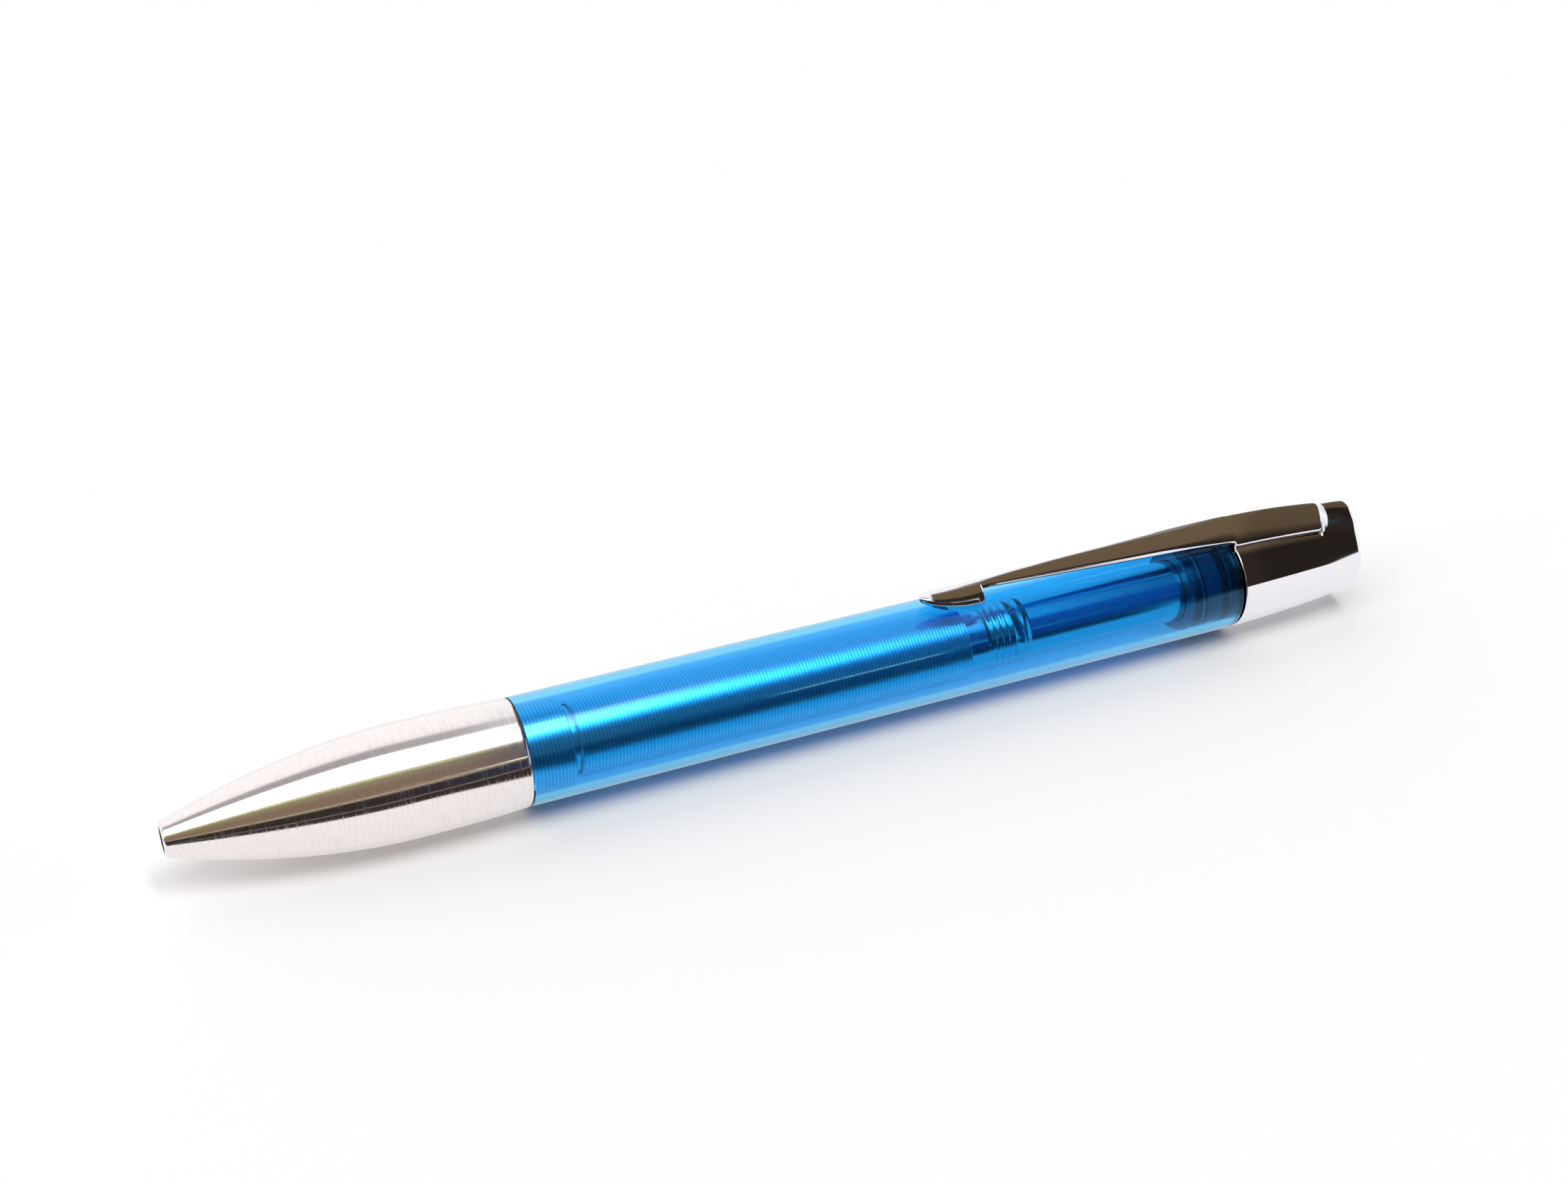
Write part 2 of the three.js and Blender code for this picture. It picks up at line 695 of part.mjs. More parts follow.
// Refill

const tipStart = RETRACTION + 0.7 * BALL_RADIUS;
const neckStart = shoulderStation - NECK_LENGTH;
const neckBore = SHANK_RADIUS + FIT;
const shankEnd = shoulderStation - 0.5;
const tubeBore = REFILL_RADIUS - REFILL_WALL;
const tubeEnd = refillEnd - PLUG_HEAD - END_GAP;

function refillTube() {
  return turned(
    [
      [neckStart, neckBore],
      [neckStart, NECK_RADIUS],
      [shoulderStation, NECK_RADIUS],
      [shoulderStation + 0.5, REFILL_RADIUS],
      [tubeEnd, REFILL_RADIUS],
      [tubeEnd, tubeBore],
      [shoulderStation + 1, tubeBore],
      [shoulderStation + 0.6, neckBore],
    ],
    INNER_FACETS,
  );
}

function refillTip() {
  const socket = BALL_RADIUS + 0.06;
  const channel = 0.3;
  return turned(
    [
      [tipStart, socket],
      [tipStart, socket + 0.1],
      [RETRACTION + POINT_CONE, SHANK_RADIUS - 0.12],
      [RETRACTION + POINT_CONE + 0.1, SHANK_RADIUS],
      [shankEnd, SHANK_RADIUS],
      [shankEnd, channel],
      [RETRACTION + 2 * BALL_RADIUS + 0.5, channel],
      [RETRACTION + 2 * BALL_RADIUS + 0.15, socket],
    ],
    SMALL_FACETS,
  );
}

function refillBall() {
  return new THREE.SphereGeometry(BALL_RADIUS, 12, 8).translate(RETRACTION + BALL_RADIUS, 0, 0);
}

function inkColumn() {
  const start = shoulderStation + 1 + END_GAP;
  const end = lerp(start, refillEnd - PLUG_HEAD - PLUG_TAIL, INK_FILL);
  const radius = tubeBore - FIT;
  return turned([[start, 0], [start, radius], [end, radius], [end, 0]], SMALL_FACETS);
}

function refillPlug() {
  const vent = 0.8;
  const head = refillEnd - PLUG_HEAD;
  const body = turned(
    [
      [head - PLUG_TAIL, vent],
      [head - PLUG_TAIL, tubeBore - FIT],
      [head, tubeBore - FIT],
      [head, REFILL_RADIUS],
      [refillEnd, REFILL_RADIUS],
      [refillEnd, vent],
    ],
    INNER_FACETS,
  );
  let crown = solidOf(body);
  for (let k = 0; k < PLUG_TEETH; k += 1) {
    const notch = box(refillEnd - 1.1, refillEnd + 1, -0.45, 0.45, 1.2, REFILL_RADIUS + 1);
    notch.rotateX(((k + 0.5) * 2 * Math.PI) / PLUG_TEETH);
    crown = crown.subtract(solidOf(notch));
  }
  return geometryOf(crown);
}

// Return spring: one unbroken wire.
function refillSpring() {
  const start = SPRING_SEAT + SPRING_WIRE + END_GAP / 2;
  const end = shoulderStation - SPRING_WIRE - END_GAP / 2;
  const steps = SPRING_CURLS * SPRING_STEPS;
  const centres = [];
  const rings = [];
  for (let k = 0; k <= steps; k += 1) {
    const angle = (k * 2 * Math.PI) / SPRING_STEPS;
    const outward = new THREE.Vector3(0, Math.cos(angle), Math.sin(angle));
    const along = new THREE.Vector3(1, 0, 0);
    const centre = outward.clone().multiplyScalar(springRadius).setX(lerp(start, end, k / steps));
    centres.push(centre);
    const ring = [];
    for (let i = 0; i < SPRING_SIDES; i += 1) {
      const turn = (i * 2 * Math.PI) / SPRING_SIDES;
      const point = centre.clone().addScaledVector(outward, SPRING_WIRE * Math.cos(turn));
      ring.push(point.addScaledVector(along, SPRING_WIRE * Math.sin(turn)));
    }
    rings.push(ring);
  }
  let gap = Infinity;
  for (let i = 0; i < centres.length; i += 1) {
    for (let j = i + SPRING_STEPS / 2; j < centres.length; j += 1) {
      gap = Math.min(gap, centres[i].distanceTo(centres[j]) - 2 * SPRING_WIRE);
    }
  }
  console.log(`refill_spring: least gap to itself ${gap.toFixed(2)} mm`);
  return skinned(rings, fan);
}

// Materials
const steel = () => new THREE.MeshStandardMaterial({ color: "#b9b4ae", metalness: 1, roughness: 0.35 });
const brightMetal = () => new THREE.MeshStandardMaterial({ color: "#c9ced2", metalness: 1, roughness: 0.25 });
const chrome = () => new THREE.MeshStandardMaterial({ color: "#d8d8da", metalness: 1, roughness: 0.06 });
const bluePlastic = () =>
  new THREE.MeshStandardMaterial({ color: "#1e90ff", roughness: 0.08, transparent: true, opacity: 0.45 });
const darkPlastic = () => new THREE.MeshStandardMaterial({ color: "#15181d", roughness: 0.5 });
const greyPlastic = () => new THREE.MeshStandardMaterial({ color: "#8f959b", roughness: 0.5 });
const rubber = () => new THREE.MeshStandardMaterial({ color: "#101010", roughness: 0.9 });
const ink = () => new THREE.MeshStandardMaterial({ color: "#0b1f6b", roughness: 0.3 });

const pen = new THREE.Group();
pen.position.set(-capEnd / 2, 0, axisHeight);

function add(name, geometry, material) {
  const mesh = new THREE.Mesh(geometry, material);
  mesh.name = name;
  pen.add(mesh);
}

add("nose_cone", noseCone(), steel());
add("front_bush", frontBush(), brightMetal());
add("barrel_tube", barrelTube(), bluePlastic());
add("inner_sleeve", innerSleeve(), brightMetal());
add("mechanism_housing", mechanismHousing(), brightMetal());
add("housing_ring", housingRing(), greyPlastic());
add("cam_sleeve", camSleeve(), greyPlastic());
add("drive_stem", driveStem(), brightMetal());
add("plunger", plunger(), greyPlastic());
add("follower_pin", followerPin(), steel());
add("cap_spigot", capSpigot(), darkPlastic());
add("friction_ring", frictionRing(), rubber());
add("cap_shell", capShell(), chrome());
add("cap_insert", capInsert(), darkPlastic());
add("clip", clip(), chrome());
add("refill_tube", refillTube(), brightMetal());
add("refill_tip", refillTip(), brightMetal());
add("refill_ball", refillBall(), steel());
add("ink_column", inkColumn(), ink());
add("refill_plug", refillPlug(), darkPlastic());
add("refill_spring", refillSpring(), steel());

export default pen;
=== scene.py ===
"""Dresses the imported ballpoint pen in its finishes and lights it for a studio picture."""

import logging
import math
from collections.abc import Callable, Iterable, Sequence
from dataclasses import dataclass, field
from enum import Enum

import bpy
import numpy as np
from mathutils import Matrix, Vector


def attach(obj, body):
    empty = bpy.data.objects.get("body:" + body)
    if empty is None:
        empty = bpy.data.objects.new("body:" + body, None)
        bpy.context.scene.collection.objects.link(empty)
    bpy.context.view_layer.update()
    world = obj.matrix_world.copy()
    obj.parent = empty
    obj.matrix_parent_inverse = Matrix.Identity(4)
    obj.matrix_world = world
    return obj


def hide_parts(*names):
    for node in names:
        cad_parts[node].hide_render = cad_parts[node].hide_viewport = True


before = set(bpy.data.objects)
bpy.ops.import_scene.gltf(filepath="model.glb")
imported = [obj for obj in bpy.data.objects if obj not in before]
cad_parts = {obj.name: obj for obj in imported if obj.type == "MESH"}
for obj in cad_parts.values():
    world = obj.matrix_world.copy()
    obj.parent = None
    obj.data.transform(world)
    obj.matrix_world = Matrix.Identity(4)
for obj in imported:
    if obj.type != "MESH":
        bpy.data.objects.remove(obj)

log = logging.getLogger("pen")

MM = 0.001
AXIS_HEIGHT = 5.752  # of the pen's axis over the table, in mm
NOSE_FACE = -66.0  # place of the nose's front face along the pen, in mm

Profile = Sequence[tuple[float, float]]
Ring = list[tuple[float, float, float]]
Setting = float | int | str | bool | tuple[float, ...] | bpy.types.NodeSocket


class Body(str, Enum):
    """The parts of the pen that move as one."""

    BARREL = "barrel"
    CAP = "cap"
    CLIP = "clip"
    REFILL = "refill"


class Slot(str, Enum):
    """The record's material slots."""

    NOSE = "nose_steel"
    TURNED = "turned_metal"
    BLUE = "clear_blue"
    GREY = "grey_plastic"
    DARK = "dark_plastic"
    RUBBER = "black_rubber"
    CHROME = "mirror_chrome"
    REFILL = "refill_metal"
    INK = "ink"


def linear(code: str) -> tuple[float, float, float, float]:
    """Turns a hex colour as the eye sees it into the renderer's linear one.

    Args:
        code: six hex digits after a hash, in sRGB.

    Returns:
        Red, green, blue and an alpha of 1.
    """
    parts = [int(code[i : i + 2], 16) / 255 for i in (1, 3, 5)]
    red, green, blue = (c / 12.92 if c <= 0.04045 else ((c + 0.055) / 1.055) ** 2.4 for c in parts)
    return red, green, blue, 1.0


def add_node(
    tree: bpy.types.NodeTree,
    kind: str,
    inputs: dict[str | int, Setting] | None = None,
    **settings: Setting,
) -> bpy.types.Node:
    """Adds a node with its settings, and sets or links its inputs.

    Args:
        tree: the tree that gets the node.
        kind: the node's type.
        inputs: by name or place, a value or the socket that feeds the input.
        settings: the node's own properties.

    Returns:
        The new node.
    """
    node = tree.nodes.new(kind)
    for name, value in settings.items():
        setattr(node, name, value)
    for key, value in (inputs or {}).items():
        if isinstance(value, bpy.types.NodeSocket):
            tree.links.new(value, node.inputs[key])
        else:
            node.inputs[key].default_value = value
    return node


def new_material(name: str) -> bpy.types.Material:
    """Makes an empty node material.

    Args:
        name: the finish's name.

    Returns:
        The material, with no nodes in it.
    """
    material = bpy.data.materials.new(name)
    material.use_nodes = True
    material.node_tree.nodes.clear()
    return material


def around_the_axis(
    tree: bpy.types.NodeTree,
) -> tuple[bpy.types.NodeSocket, bpy.types.NodeSocket, bpy.types.NodeSocket]:
    """Reads where a point lies on a turned piece.

    Args:
        tree: the material's tree.

    Returns:
        The place along the pen in mm, the angle round its axis in radians, and the distance from it in mm.
    """
    place = add_node(tree, "ShaderNodeTexCoord").outputs["Object"]
    split = add_node(tree, "ShaderNodeSeparateXYZ", {0: place})
    along = add_node(tree, "ShaderNodeMath", {0: split.outputs["X"], 1: 1 / MM}, operation="MULTIPLY")
    up = add_node(tree, "ShaderNodeMath", {0: split.outputs["Z"], 1: AXIS_HEIGHT * MM}, operation="SUBTRACT")
    angle = add_node(tree, "ShaderNodeMath", {0: up.outputs[0], 1: split.outputs["Y"]}, operation="ARCTAN2")
    across = add_node(tree, "ShaderNodeCombineXYZ", {"Y": split.outputs["Y"], "Z": up.outputs[0]})
    metres = add_node(tree, "ShaderNodeVectorMath", {0: across.outputs[0]}, operation="LENGTH")
    out = add_node(tree, "ShaderNodeMath", {0: metres.outputs["Value"], 1: 1 / MM}, operation="MULTIPLY")
    return along.outputs[0], angle.outputs[0], out.outputs[0]


# Finishes


@dataclass(frozen=True)
class FineTurnedSteel:
    """Stainless steel, fine turned and then polished lightly.

    The tool's fine rings blur what the steel reflects along the pen and leave it sharp round it, so the eye
    sees crisp bands of light that run down the nose, with fine ticks across them where a ring is deeper.
    Inside the bore the steel is painted dark, as painted shade in the hole.
    """

    colour: str = "#F4EFEE"
    worn: str = "#EFEAE8"
    # painted shade: the dark colour painted on the inside of the hole, standing for the shade in the bore
    bore: str = "#3B3633"
    roughness: float = 0.15
    ring_pitch: float = 0.22  # mm; the real rings are finer, and are drawn as coarse as they need to show
    ring_depth: float = 0.0004  # mm
    bore_shade_radius: float = 1.36  # mm

    def material(self) -> bpy.types.Material:
        """Builds the steel."""
        material = new_material("fine_turned_stainless_steel")
        tree = material.node_tree
        along, angle, out = around_the_axis(tree)
        rings = add_node(tree, "ShaderNodeMath", {0: along, 1: 1 / self.ring_pitch}, operation="MULTIPLY")
        turn = add_node(tree, "ShaderNodeMath", {0: angle, 1: 2.0}, operation="MULTIPLY")
        spot = add_node(tree, "ShaderNodeCombineXYZ", {"X": rings.outputs[0], "Y": turn.outputs[0]})
        streaks = add_node(
            tree,
            "ShaderNodeTexNoise",
            {"Vector": spot.outputs[0], "Scale": 1.0, "Detail": 3.0, "Roughness": 0.6},
        )
        ticks = add_node(
            tree,
            "ShaderNodeMapRange",
            {"Value": streaks.outputs["Fac"], "From Min": 0.47, "From Max": 0.66},
        )
        rough = add_node(
            tree,
            "ShaderNodeMapRange",
            {"Value": ticks.outputs[0], "To Min": self.roughness - 0.03, "To Max": self.roughness + 0.12},
        )
        metal = add_node(
            tree,
            "ShaderNodeMix",
            {0: ticks.outputs[0], 6: linear(self.colour), 7: linear(self.worn)},
            data_type="RGBA",
        )
        # painted shade: inside the bore's radius the steel takes the dark bore colour
        inside = add_node(tree, "ShaderNodeMath", {0: out, 1: self.bore_shade_radius}, operation="LESS_THAN")
        colour = add_node(
            tree,
            "ShaderNodeMix",
            {0: inside.outputs[0], 6: metal.outputs[2], 7: linear(self.bore)},
            data_type="RGBA",
        )
        bump = add_node(
            tree,
            "ShaderNodeBump",
            {"Strength": 1.0, "Distance": self.ring_depth * MM, "Height": streaks.outputs["Fac"]},
        )
        tangent = add_node(tree, "ShaderNodeTangent", direction_type="RADIAL", axis="X")
        steel = add_node(
            tree,
            "ShaderNodeBsdfPrincipled",
            {
                "Base Color": colour.outputs[2],
                "Metallic": 1.0,
                "Roughness": rough.outputs[0],
                "Anisotropic": 0.9,
                "Anisotropic Rotation": 0.25,
                "Normal": bump.outputs[0],
                "Tangent": tangent.outputs[0],
            },
        )
        add_node(tree, "ShaderNodeOutputMaterial", {"Surface": steel.outputs[0]})
        return material


@dataclass(frozen=True)
class RingTurnedAluminium:
    """Aluminium bar, bright turned with a feed that leaves even rings.

    Each ring has a bright crest and a groove painted darker, as painted shade in the groove, so a highlight
    breaks up into a row of fine ticks and fades softly round the bar.
    """

    colour: str = "#FBFCFD"
    # painted shade: the darker colour that the grooves between the rings are painted
    groove: str = "#C9D2DD"
    roughness: float = 0.31
    ring_pitch: float = 0.36  # mm; the real feed is half that, and is drawn as coarse as it needs to show
    ring_depth: float = 0.002  # mm

    def material(self) -> bpy.types.Material:
        """Builds the aluminium."""
        material = new_material("ring_turned_aluminium")
        tree = material.node_tree
        along, angle, _ = around_the_axis(tree)
        spot = add_node(tree, "ShaderNodeCombineXYZ", {"X": along, "Y": angle})
        wander = add_node(
            tree,
            "ShaderNodeTexNoise",
            {"Vector": spot.outputs[0], "Scale": 1.6, "Detail": 1.0},
        )
        turns = add_node(
            tree, "ShaderNodeMath", {0: along, 1: math.tau / self.ring_pitch}, operation="MULTIPLY"
        )
        height = add_node(tree, "ShaderNodeMath", {0: turns.outputs[0]}, operation="SINE")
        # painted shade: towards each groove the colour darkens from the crest's to the groove's
        crest = add_node(
            tree,
            "ShaderNodeMapRange",
            {"Value": height.outputs[0], "From Min": -1.0, "From Max": 0.4},
        )
        colour = add_node(
            tree,
            "ShaderNodeMix",
            {0: crest.outputs[0], 6: linear(self.groove), 7: linear(self.colour)},
            data_type="RGBA",
        )
        bump = add_node(
            tree,
            "ShaderNodeBump",
            {"Strength": 1.0, "Distance": self.ring_depth * MM, "Height": height.outputs[0]},
        )
        rough = add_node(
            tree,
            "ShaderNodeMapRange",
            {
                "Value": wander.outputs["Fac"],
                "To Min": self.roughness - 0.03,
                "To Max": self.roughness + 0.04,
            },
        )
        metal = add_node(
            tree,
            "ShaderNodeBsdfPrincipled",
            {
                "Base Color": colour.outputs[2],
                "Metallic": 1.0,
                "Roughness": rough.outputs[0],
                "Normal": bump.outputs[0],
            },
        )
        add_node(tree, "ShaderNodeOutputMaterial", {"Surface": metal.outputs[0]})
        return material


@dataclass(frozen=True)
class ClearBlueAcrylic:
    """Acrylic tube, dyed blue in the mass, extruded and flame polished.

    It is as clear as glass. The dye takes nearly all the red and some green, twice on the way in and twice on
    the way out, so what lies inside goes from white to azure and from grey to navy.
    """

    colour: str = "#66D0FF"
    shade: str = "#A3B9E4"  # of the light that it lets through to the table
    gloss: str = "#AFD9FF"  # of the dyed skin's own reflection
    ior: float = 1.49
    ripple: float = 0.0001  # mm, of the polished surface

    def material(self) -> bpy.types.Material:
        """Builds the acrylic."""
        material = new_material("blue_dyed_acrylic")
        tree = material.node_tree
        place = add_node(tree, "ShaderNodeTexCoord").outputs["Object"]
        waves = add_node(
            tree,
            "ShaderNodeTexNoise",
            {"Vector": place, "Scale": 1 / (5 * MM), "Detail": 1.0},
        )
        bump = add_node(
            tree,
            "ShaderNodeBump",
            {"Strength": 1.0, "Distance": self.ripple * MM, "Height": waves.outputs["Fac"]},
        )
        rough = add_node(
            tree,
            "ShaderNodeMapRange",
            {"Value": waves.outputs["Fac"], "To Min": 0.0, "To Max": 0.015},
        )
        acrylic = add_node(
            tree,
            "ShaderNodeBsdfPrincipled",
            {
                "Base Color": linear(self.colour),
                "Roughness": rough.outputs[0],
                "IOR": self.ior,
                "Specular Tint": linear(self.gloss),
                "Transmission Weight": 1.0,
                "Normal": bump.outputs[0],
            },
        )
        through = add_node(tree, "ShaderNodeBsdfTransparent", {"Color": linear(self.shade)})
        rays = add_node(tree, "ShaderNodeLightPath")
        both = add_node(
            tree,
            "ShaderNodeMixShader",
            {0: rays.outputs["Is Shadow Ray"], 1: acrylic.outputs[0], 2: through.outputs[0]},
        )
        add_node(tree, "ShaderNodeOutputMaterial", {"Surface": both.outputs[0]})
        return material


@dataclass(frozen=True)
class MirrorChrome:
    """Brass, polished and chrome plated.

    The plating is a cool mirror. Faint smears and the waver of a hand-polished base keep it from looking
    drawn.
    """

    colour: str = "#F2F2F7"
    roughness: float = 0.035
    waver: float = 0.003  # mm, of the polished base under the plating

    def material(self) -> bpy.types.Material:
        """Builds the plating."""
        material = new_material("polished_chrome_plate")
        tree = material.node_tree
        place = add_node(tree, "ShaderNodeTexCoord").outputs["Object"]
        smears = add_node(
            tree,
            "ShaderNodeTexNoise",
            {"Vector": place, "Scale": 1 / (2.5 * MM), "Detail": 3.0},
        )
        base = add_node(
            tree,
            "ShaderNodeTexNoise",
            {"Vector": place, "Scale": 1 / (4 * MM), "Detail": 0.0},
        )
        rough = add_node(
            tree,
            "ShaderNodeMapRange",
            {
                "Value": smears.outputs["Fac"],
                "To Min": self.roughness - 0.02,
                "To Max": self.roughness + 0.04,
            },
        )
        bump = add_node(
            tree,
            "ShaderNodeBump",
            {"Strength": 1.0, "Distance": self.waver * MM, "Height": base.outputs["Fac"]},
        )
        chrome = add_node(
            tree,
            "ShaderNodeBsdfPrincipled",
            {
                "Base Color": linear(self.colour),
                "Metallic": 1.0,
                "Roughness": rough.outputs[0],
                "Normal": bump.outputs[0],
            },
        )
        add_node(tree, "ShaderNodeOutputMaterial", {"Surface": chrome.outputs[0]})
        return material


@dataclass(frozen=True)
class MouldedPlastic:
    """ABS or acetal, injection moulded in a lightly etched tool.

    It is dull with a soft sheen, and its colour drifts a little where the melt flowed.
    """

    name: str
    dark: str
    light: str
    roughness: float = 0.42
    grain: float = 0.15  # mm, of the tool's etching

    def material(self) -> bpy.types.Material:
        """Builds the plastic."""
        material = new_material(self.name)
        tree = material.node_tree
        place = add_node(tree, "ShaderNodeTexCoord").outputs["Object"]
        flow = add_node(tree, "ShaderNodeTexNoise", {"Vector": place, "Scale": 1 / (3 * MM), "Detail": 2.0})
        colour = add_node(
            tree,
            "ShaderNodeMix",
            {0: flow.outputs["Fac"], 6: linear(self.dark), 7: linear(self.light)},
            data_type="RGBA",
        )
        etching = add_node(
            tree, "ShaderNodeTexNoise", {"Vector": place, "Scale": 1 / (self.grain * MM), "Detail": 1.0}
        )
        bump = add_node(
            tree,
            "ShaderNodeBump",
            {"Strength": 0.6, "Distance": 0.01 * MM, "Height": etching.outputs["Fac"]},
        )
        plastic = add_node(
            tree,
            "ShaderNodeBsdfPrincipled",
            {
                "Base Color": colour.outputs[2],
                "Roughness": self.roughness,
                "IOR": 1.5,
                "Normal": bump.outputs[0],
            },
        )
        add_node(tree, "ShaderNodeOutputMaterial", {"Surface": plastic.outputs[0]})
        return material


@dataclass(frozen=True)
class DrawnMetal:
    """Drawn metal stock: the refill's plated tube, the spring's wire, the pin and the ball.

    Drawing leaves it half bright with faint lines, so it glints without mirroring.
    """

    name: str
    colour: str
    roughness: float = 0.3
    line_pitch: float = 0.08  # mm, of the die's lines

    def material(self) -> bpy.types.Material:
        """Builds the metal."""
        material = new_material(self.name)
        tree = material.node_tree
        along, angle, _ = around_the_axis(tree)
        lines = add_node(tree, "ShaderNodeMath", {0: angle, 1: 3 / self.line_pitch}, operation="MULTIPLY")
        spot = add_node(tree, "ShaderNodeCombineXYZ", {"X": along, "Y": lines.outputs[0]})
        marks = add_node(
            tree, "ShaderNodeTexNoise", {"Vector": spot.outputs[0], "Scale": 0.7, "Detail": 2.0}
        )
        rough = add_node(
            tree,
            "ShaderNodeMapRange",
            {"Value": marks.outputs["Fac"], "To Min": self.roughness - 0.08, "To Max": self.roughness + 0.08},
        )
        metal = add_node(
            tree,
            "ShaderNodeBsdfPrincipled",
            {"Base Color": linear(self.colour), "Metallic": 1.0, "Roughness": rough.outputs[0]},
        )
        add_node(tree, "ShaderNodeOutputMaterial", {"Surface": metal.outputs[0]})
        return material


# Meshes


@dataclass
class Shape:
    """Points in mm from the axis at the nose's face, and the faces between them."""

    points: Ring = field(default_factory=list)
    faces: list[tuple[int, ...]] = field(default_factory=list)

    def grid(self, rows: Sequence[Ring], close_columns: bool = True, close_rows: bool = False) -> "Shape":
        """Skins rows of points that have as many points each.

        Args:
            rows: the rows, in order.
            close_columns: whether a row's last point joins its first.
            close_rows: whether the last row joins the first.

        Returns:
            This shape.
        """
        base = len(self.points)
        wide = len(rows[0])
        for row in rows:
            self.points.extend(row)
        columns = wide if close_columns else wide - 1
        spans = len(rows) if close_rows else len(rows) - 1
        for i in range(spans):
            for j in range(columns):
                a = base + i * wide + j
                b = base + i * wide + (j + 1) % wide
                c = base + ((i + 1) % len(rows)) * wide
                self.faces.append((a, b, c + (j + 1) % wide, c + j))
        return self

    def ends(self, wide: int) -> "Shape":
        """Closes the first and the last row of the only grid with one face each.

        Args:
            wide: points in a row.

        Returns:
            This shape.
        """
        last = len(self.points) - wide
        self.faces.append(tuple(reversed(range(wide))))
        self.faces.append(tuple(range(last, last + wide)))
        return self


def turned(profile: Profile, facets: int = 192) -> Shape:
    """Turns a closed profile about the pen's axis.

    Args:
        profile: stations and radii, once round the section.
        facets: points round the axis.

    Returns:
        The shape.
    """
    rows = []
    for station, radius in profile:
        rows.append(
            [
                (station, radius * math.cos(math.tau * k / facets), radius * math.sin(math.tau * k / facets))
                for k in range(facets)
            ]
        )
    return Shape().grid(rows, close_rows=True)


def build_mesh(name: str, shape: Shape, crease: float) -> bpy.types.Object:
    """Makes an object in the model's frame, with its faces outwards and its sharp edges marked.

    Args:
        name: the piece's name.
        shape: the shape in mm.
        crease: edges that bend by more than this many degrees stay sharp.

    Returns:
        The object, in the scene.
    """
    mesh = bpy.data.meshes.new(name)
    mesh.from_pydata(
        [((x + NOSE_FACE) * MM, y * MM, (z + AXIS_HEIGHT) * MM) for x, y, z in shape.points], [], shape.faces
    )
    mesh.update()
    places = np.array([v.co for v in mesh.vertices])
    volume = 0.0
    for face in mesh.polygons:
        corner = places[face.vertices[0]]
        for i in range(1, len(face.vertices) - 1):
            volume += float(np.dot(corner, np.cross(places[face.vertices[i]], places[face.vertices[i + 1]])))
    if volume < 0:
        mesh.flip_normals()
    mesh.shade_smooth()
    mesh.set_sharp_from_angle(angle=math.radians(crease))
    piece = bpy.data.objects.new(name, mesh)
    bpy.context.scene.collection.objects.link(piece)
    return piece


def cut(piece: bpy.types.Object, knife: bpy.types.Object) -> None:
    """Cuts a piece with another one, which is used up.

    Args:
        piece: what is cut.
        knife: what it is cut with.
    """
    modifier = piece.modifiers.new("cut", "BOOLEAN")
    modifier.operation = "DIFFERENCE"
    modifier.solver = "EXACT"
    modifier.object = knife
    graph = bpy.context.evaluated_depsgraph_get()
    mesh = bpy.data.meshes.new_from_object(piece.evaluated_get(graph))
    piece.modifiers.clear()
    old = piece.data
    piece.data = mesh
    blade = knife.data
    bpy.data.objects.remove(knife)
    for unused in (old, blade):
        bpy.data.meshes.remove(unused)
    mesh.name = piece.name


def install(
    piece: bpy.types.Object,
    body: Body,
    material: bpy.types.Material,
    stands_for: Iterable[str],
) -> None:
    """Gives a piece its finish and its body, and hides the solids that it stands for.

    Args:
        piece: the new piece.
        body: what it moves with.
        material: its finish.
        stands_for: the solids that it stands for.
    """
    piece.data.materials.clear()
    piece.data.materials.append(material)
    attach(piece, body.value)
    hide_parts(*stands_for)
    log.info("%s: %d faces on %s", piece.name, len(piece.data.polygons), body.value)


def dress(material: bpy.types.Material, *nodes: str) -> None:
    """Gives solids that stay as they are their finish.

    Args:
        material: the finish.
        nodes: names of the solids.
    """
    for name in nodes:
        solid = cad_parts[name]
        solid.data.materials.clear()
        solid.data.materials.append(material)
        log.info("%s: %s", name, material.name)


def curve_through(knots: Sequence[tuple[float, float]], steps: int = 40) -> Callable[[float], float]:
    """Lays a smooth line through points, as the part's source does.

    Args:
        knots: places and heights, in order.
        steps: samples between two points.

    Returns:
        The height at a place.
    """
    points = [knots[0], *knots, knots[-1]]
    xs: list[float] = []
    ys: list[float] = []
    for a, b, c, d in zip(points, points[1:], points[2:], points[3:]):
        for k in range(steps):
            t = k / steps
            weights = (
                -0.5 * t + t**2 - 0.5 * t**3,
                1 - 2.5 * t**2 + 1.5 * t**3,
                0.5 * t + 2 * t**2 - 1.5 * t**3,
                -0.5 * t**2 + 0.5 * t**3,
            )
            xs.append(sum(w * p[0] for w, p in zip(weights, (a, b, c, d))))
            ys.append(sum(w * p[1] for w, p in zip(weights, (a, b, c, d))))
    xs.append(knots[-1][0])
    ys.append(knots[-1][1])
    return lambda place: float(np.interp(place, xs, ys))


def lerp(a: float, b: float, share: float) -> float:
    """Gives the value at a share of the way from a to b."""
    return a + (b - a) * share


# Sub-assemblies


